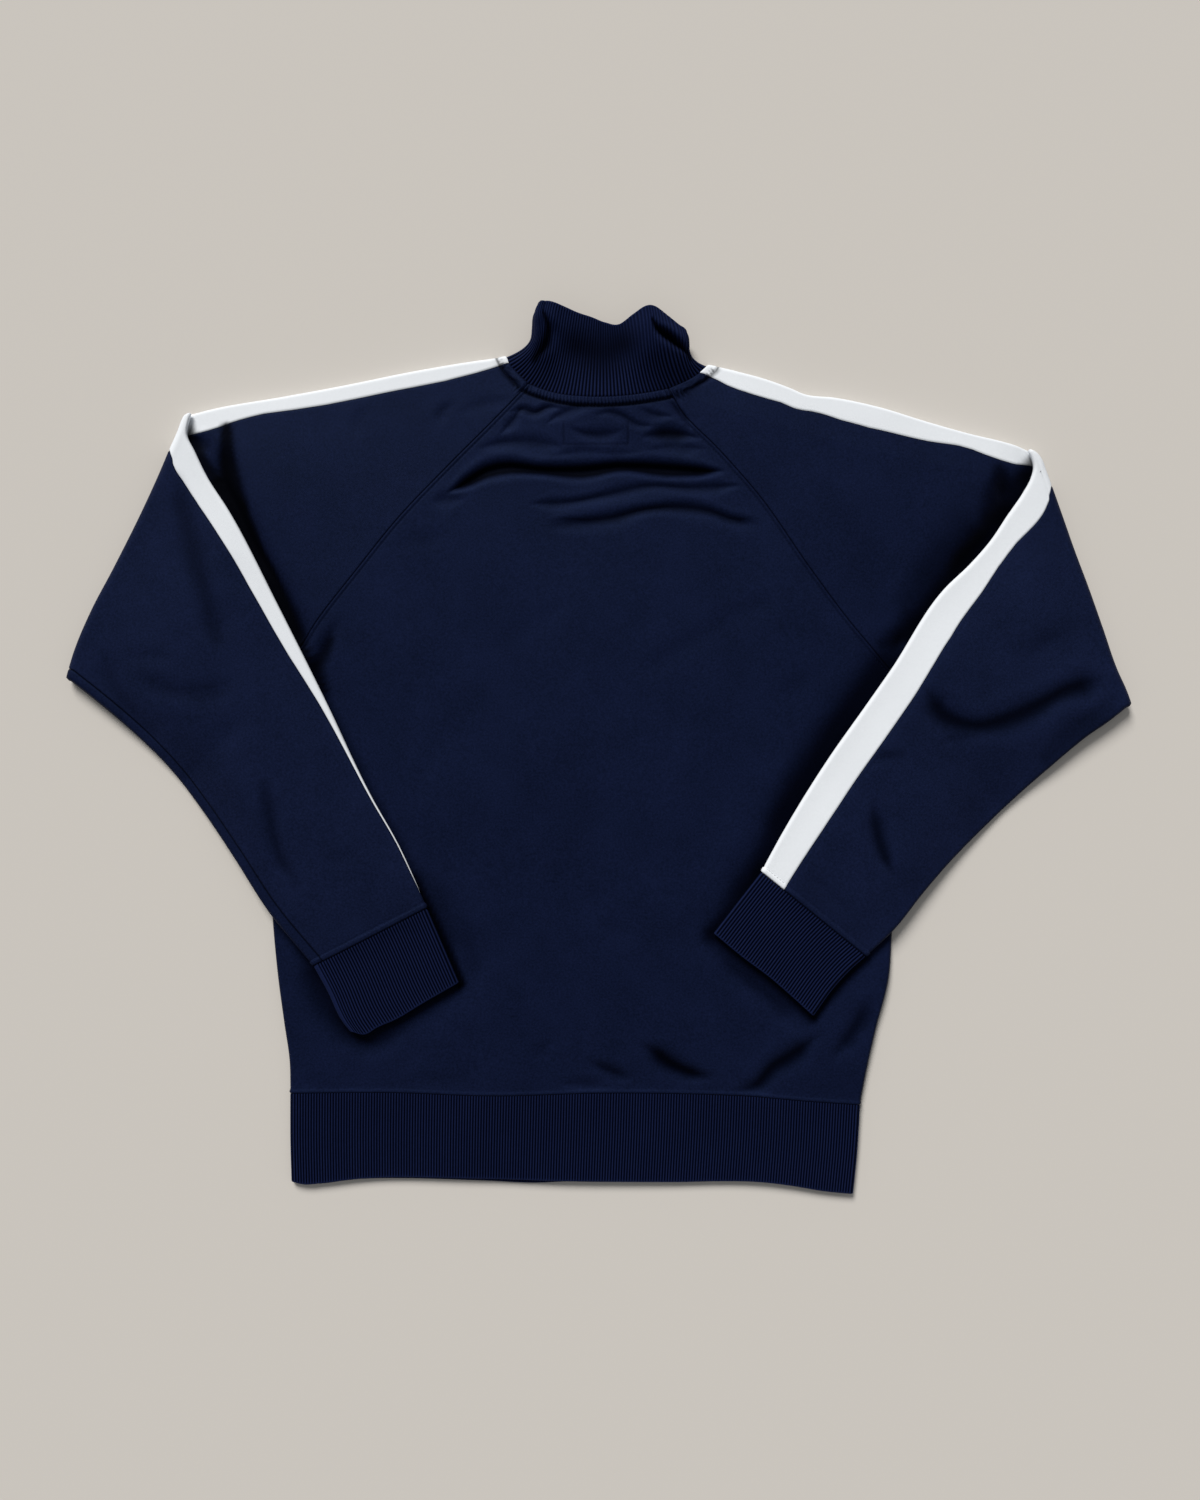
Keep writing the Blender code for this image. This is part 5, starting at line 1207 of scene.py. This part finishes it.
def hem_point(v, s):
    """s is 0 at the left side, and the band's reach at the right side."""
    mirrored = s > hem_reach / 2
    run = np.abs(np.where(mirrored, hem_reach - s, s))
    lower = (s < 0) | (s > hem_reach)
    turn = np.clip(run / EDGE, 0.0, math.pi / 2)
    w = np.where(run < EDGE_ARC, EDGE * (1 - np.cos(turn)), EDGE + run - EDGE_ARC) + RIB_HALF
    q = np.where(mirrored, 1.0 - w / hem_width, w / hem_width)
    share = (0.5 + 0.5 * np.where(lower, -1.0, 1.0) * np.sin(turn))[..., None]
    top = hem_over(v, q)
    base = np.where(mirrored[..., None], under_right(v, w / from_zip), under_left(v, w / to_zip))
    return share * raised(top, back_mid(top)) + (1 - share) * raised(base, RIB_HALF)


rolled = RIB_HALF + EDGE - EDGE_ARC
under_step = hem_reach / HEM_RIBS / 4      # from point to point on the fronts, which lie below
s = np.concatenate([np.arange(-math.floor((to_zip - rolled) / under_step), 0) * under_step,
                    np.linspace(0.0, hem_reach, HEM_RIBS * RIB_POINTS + 1),
                    hem_reach + np.arange(1, math.floor((from_zip - rolled) / under_step))
                    * under_step])
v = np.concatenate([[0.0, 0.006, 0.014, 0.03], np.linspace(0.07, 0.93, 8), 1.0 - TURN_IN])
v, s = np.meshgrid(v, s, indexing="ij")
knit_band("hem_rib", "hem_band", hem_point(v, s), ribs(s / hem_reach, HEM_RIBS), 1, 0.3)

# %% [markdown]
# The collar stands up when the jacket is worn. Here it lies on its side: the front half is
# flat on the floor and the back half humps up over it in two ears with a hollow between.
# One row of the table gives one rib: its two ends in plan and its heights at the quarters.

# %% Collar
COLLAR_RIBS = 61
COLLAR = np.array((
    # base_x, base_y, top_x, top_y, bow_x, bow_y, z0, z1, z2, z3, z4
    (-5.3, 236, -4.2, 300, 0, 0, 1.3, 3.4, 4.5, 5.2, 5.3),
    (-16, 240.7, -14, 304, 0, 0, 1.3, 2.4, 3.2, 3.8, 4.2),
    (-36, 255.6, -31, 320, 0, 0, 1.3, 1.3, 1.6, 2, 2.6),
    (-52.2, 282, -38, 343, 0, 0, 1.3, 1.3, 1.3, 1.6, 2.2),
    (-57.6, 307, -43, 355, 2, 0, 1.3, 1.3, 1.4, 1.8, 2.4),
    (-66, 315.6, -47.5, 361, 5, 0, 1.3, 1.3, 1.7, 2.4, 3),
    (-75.8, 323.6, -50.8, 362, 9, 0, 1.5, 2.6, 4.2, 5.6, 6.4),
    (-79.6, 327.4, -51.8, 364.2, 12, 0, 3.3, 5.4, 8.4, 11, 12.2),
    (-77.4, 324.6, -50, 366.6, 12.5, 0.4, 5.1, 9, 14, 19, 20.2),
    (-66, 312.6, -43.2, 368.8, 8.5, 1, 5.5, 13.4, 20.4, 25.5, 26),
    (-57, 305.6, -37, 367.6, 6, 1, 6, 13.5, 20.5, 25.5, 26.5),
    (-46, 301.4, -29, 365.4, 3.5, 0, 7.4, 12, 16, 20.5, 23),
    (-30, 296.9, -18, 361.9, 1, 0, 10.2, 11.4, 12.2, 15.4, 18.5),
    (-13, 294.8, -6.5, 359.2, 0, 0, 12.6, 11.4, 10.4, 12, 15),
    (7, 294.4, 5.5, 355.2, 0, 0, 13.4, 11.6, 9.8, 10.4, 13),
    (26, 296, 17.5, 353.4, 0, 0, 11.4, 11.6, 11.8, 13, 15.2),
    (40, 298.8, 28.5, 359.8, -1.5, 0, 8.8, 12.6, 16.5, 19.8, 20.6),
    (51, 301.4, 38.5, 365, -3, 0.5, 6.7, 13.4, 20.4, 24.6, 25),
    (61.5, 304.6, 46, 365.4, -3.5, 0.5, 5.6, 13.8, 21, 23.6, 23.2),
    (71, 308.6, 55, 360.4, -2, 0, 5.2, 12.8, 18, 20, 19),
    (79.2, 312, 65.2, 353.2, -2.5, 0, 5, 10.5, 14, 17, 16),
    (87, 317.8, 71.6, 348.8, -6.4, 0, 4.9, 8.4, 10.8, 13, 13),
    (90.8, 320.4, 73, 345, -8, 0, 3.2, 5.2, 6.8, 7.8, 8.6),
    (87, 317.4, 72.2, 341.6, -7.5, 0, 1.5, 2.4, 3.2, 3.8, 4.8),
    (72.5, 309.6, 70, 336.4, -2.5, 0, 1.3, 1.3, 1.6, 2.2, 3),
    (56.6, 302.9, 58, 331, -1, 0, 1.3, 1.3, 1.4, 1.8, 2.4),
    (53, 280, 51, 324, 0, 0, 1.3, 1.3, 1.4, 1.8, 2.4),
    (42.4, 255, 38, 314, 0, 0, 1.3, 1.3, 1.6, 2, 2.6),
    (24.2, 240.7, 23, 303.5, 0, 0, 1.3, 2.4, 3.2, 3.8, 4.2),
    (12.2, 236, 13.3, 300, 0, 0, 1.3, 3.4, 4.5, 5.2, 5.3),
))
COLLAR_FOLDS = (
    # path, depth, reach
    (((43, 355), (47, 349), (55, 344), (62, 340), (70, 334), (75, 327)), 8, 3.6),
    (((-45, 360), (-42, 348), (-44, 338), (-53, 325)), 4.5, 3.8),
)
COLLAR_PAINTED_SHADE = (
    # path, half widths along it, softness, dark: how much shade each path paints
    (((44, 354), (48, 348), (56, 343), (63, 338), (71, 332), (76, 325)),
      (1, 3.6, 4.6, 4, 2.4, 1.2), 0.6, 0.94),
    (((-46, 360), (-42, 347), (-44, 337), (-53, 325)), (1.2, 2.8, 4.8, 3.2), 0.6, 0.88),
    (((-18, 336), (3, 332), (20, 337)), (12, 17, 12), 1, 0.78),
)
LEFT_EAR, RIGHT_EAR = 7, 22      # the rows at which the collar turns over
collar_run = along(COLLAR[:, :2])
collar_row = hermite(COLLAR, collar_run)
rib_pitch = (collar_run[RIGHT_EAR] - collar_run[LEFT_EAR]) / COLLAR_RIBS
count = math.floor(collar_run[-1] / rib_pitch)
first = (collar_run[-1] - count * rib_pitch) / 2
u = first + np.linspace(0.0, count, count * RIB_POINTS + 1) * rib_pitch
v = np.concatenate([[-0.05, -0.03, -0.012, 0.0, 0.012, 0.028], np.linspace(0.055, 0.94, 22),
                    1.0 - TURN_IN])
row, rise = collar_row(u), v[:, None]
tucked = 1.7 * smooth(-rise / 0.04)
height = hermite(row[:, 6:].T, np.linspace(0.0, 1.0, 5))(v) - tucked
bow = 27 / 4 * np.maximum(rise, 0) * (1 - rise) ** 2
xy = row[:, 0:2] * (1 - rise)[..., None] + row[:, 2:4] * rise[..., None]
xy = xy + bow[..., None] * row[:, 4:6]
on_back = ((u > collar_run[LEFT_EAR]) & (u < collar_run[RIGHT_EAR]))[None, :]
height = height + on_back * crease_height(xy, COLLAR_FOLDS)
# The collar's grooves get less painted shade towards its top, and its clefts get painted shade.
knit_band("collar_rib", "collar", raised(xy, np.maximum(height, RIB_HALF)),
          ribs((u - first) / (u[-1] - first), count), -1, 0,
          1.0 - 0.45 * smooth((rise - 0.3) / 0.35), on_back * cleft_painted_shade(xy, COLLAR_PAINTED_SHADE))
print(count, "ribs round the collar")

# %% [markdown]
# ## Topstitches
#
# A stitch is a short plump bead of thread. One small icosphere is stretched for each and
# laid along the row, half sunk in its valley.


# %% Stitch builder
def stitch_row(bm, points, length=2.1, gap=0.8, wide=0.42, high=0.3):
    """Beads of thread along a row of points in space."""
    run = along(points)
    starts = np.arange(0.4, run[-1] - length, length + gap)
    for a in starts:
        ends = np.stack([np.interp([a, a + length], run, points[:, k]) for k in range(3)], axis=-1)
        along_x = Vector(ends[1] - ends[0]).normalized()
        across_y = Vector((0, 0, 1)).cross(along_x).normalized()
        up = along_x.cross(across_y)
        turn = Matrix((along_x, across_y, up)).transposed().to_4x4()
        size = Matrix.Diagonal((length * 0.52 * MM, wide / 2 * MM, high / 2 * MM, 1.0))
        middle = Matrix.Translation(Vector(ends.mean(0)) * MM)
        bmesh.ops.create_icosphere(bm, subdivisions=1, radius=1.0, matrix=middle @ turn @ size)
    return len(starts)


def on_the_back(points, aside):
    """A row of points in plan, moved aside in plan and laid on the back's outer face."""
    run = np.gradient(points, axis=0)
    run /= np.linalg.norm(run, axis=1, keepdims=True)
    xy = points + aside * np.stack([run[:, 1], -run[:, 0]], axis=-1)
    return raised(xy, back_mid(xy) + CLOTH / 2 + neck_relief(xy) + raglan_relief(xy))


def small_parts(name, mesh):
    """Small parts that are sewn to the jacket."""
    parts = add_object(name, mesh)
    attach(parts, "jacket")


THREAD = knit("navy_thread", (0.0033, 0.0058, 0.021), BLUE_GLOSS, 0.5, 0.02, 0.3, 0.3, 0.03)
rows = [on_the_back(curve(NECK_LINE)(np.linspace(0.02, 0.98, 150)), BAND + 0.3)]
for side, sign in SIDES:
    seam = curve(RAGLAN[side])(np.linspace(0.03, 0.995, 160))
    rows.append(on_the_back(seam, sign * TOPSTITCH))
for outer, to_cuff in cuff_rows:
    nearest_row = np.argmin(np.abs(to_cuff[:, to_cuff.shape[1] // 2] - CUFF_BAND))
    rows.append(outer[nearest_row])
bm = bmesh.new()
total = sum(stitch_row(bm, row) for row in rows)
mesh = to_mesh(bm, "topstitches", THREAD)
mesh.shade_smooth()
mesh.uv_layers.new(name="cloth")
small_parts("topstitches", mesh)
print(total, "topstitches")

# %% [markdown]
# ## Zip
#
# The zip lies under the jacket, between the fronts. Each tape carries half of the chain:
# small moulded teeth that take turns down the middle. The slider and its pull are metal,
# and they keep the frame's shapes.

# %% Zip tapes
ZIP_PATH = np.array([ZIP_END, ZIP_HEM, (0.6, 168), (3.4, 234.6), (3.8, 260), (4.3, 286),
                     (4.5, 299)])
ZIP_LIFT = np.array([0.3, 0.3, 0.3, 0.3, 3.3, 4.1, 4.1])
ACROSS_TAPE = np.array([1.2, 2.0, 3.0, 4.2, 6.0, 7.6])
TAPE_RISE = np.array([0.7, 0.6, 0.55, 0.55, 0.55, 0.55])
zip_run = along(ZIP_PATH)


def zip_place(run):
    """The chain's middle at a length along the zip, from the hem up."""
    return [np.interp(run, zip_run, values) for values in (*ZIP_PATH.T, ZIP_LIFT)]


x, y, z = (values[:, None] for values in zip_place(np.linspace(0.0, zip_run[-1], 180)))
for side, sign in SIDES:
    mids = np.stack(np.broadcast_arrays(x + sign * ACROSS_TAPE, y, z + TAPE_RISE), axis=-1)
    tape = drape(f"tape_{side}_cloth", mids, TAPE, 0.8, sign, sewn=(0, 0, 0, 0))
    declare(tape, [f"zip_tape_{side}"])

# %% Zip teeth
METAL = new_look("zip_metal", {"Base Color": (0.30, 0.31, 0.33, 1.0), "Metallic": 1.0,
                               "Roughness": 0.35})
TEETH = new_look("zip_teeth", {"Base Color": (0.006, 0.009, 0.025, 1.0), "Roughness": 0.4})
TOOTH_PITCH = 2.4
TOOTH = (3.4, 1.0, 2.2)          # across the zip, along it and upwards
TOOTH_ASIDE, TOOTH_RISE = 1.1, 1.2
bm = bmesh.new()
size = Matrix.Diagonal((*(side * MM for side in TOOTH), 1.0))
count = int((zip_run[-1] - 2.0) / TOOTH_PITCH * 2)
for k in range(count):
    x, y, z = zip_place(1.0 + k * TOOTH_PITCH / 2)
    side = 1 if k % 2 else -1
    middle = ((x + side * TOOTH_ASIDE) * MM, y * MM, (z + TOOTH_RISE) * MM)
    bmesh.ops.create_cube(bm, size=1.0, matrix=Matrix.Translation(middle) @ size)
small_parts("zip_teeth", to_mesh(bm, "zip_teeth", TEETH))
for name in ("zip_slider", "zip_pull"):
    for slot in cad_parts[name].material_slots:
        slot.material = METAL
print(count, "teeth")
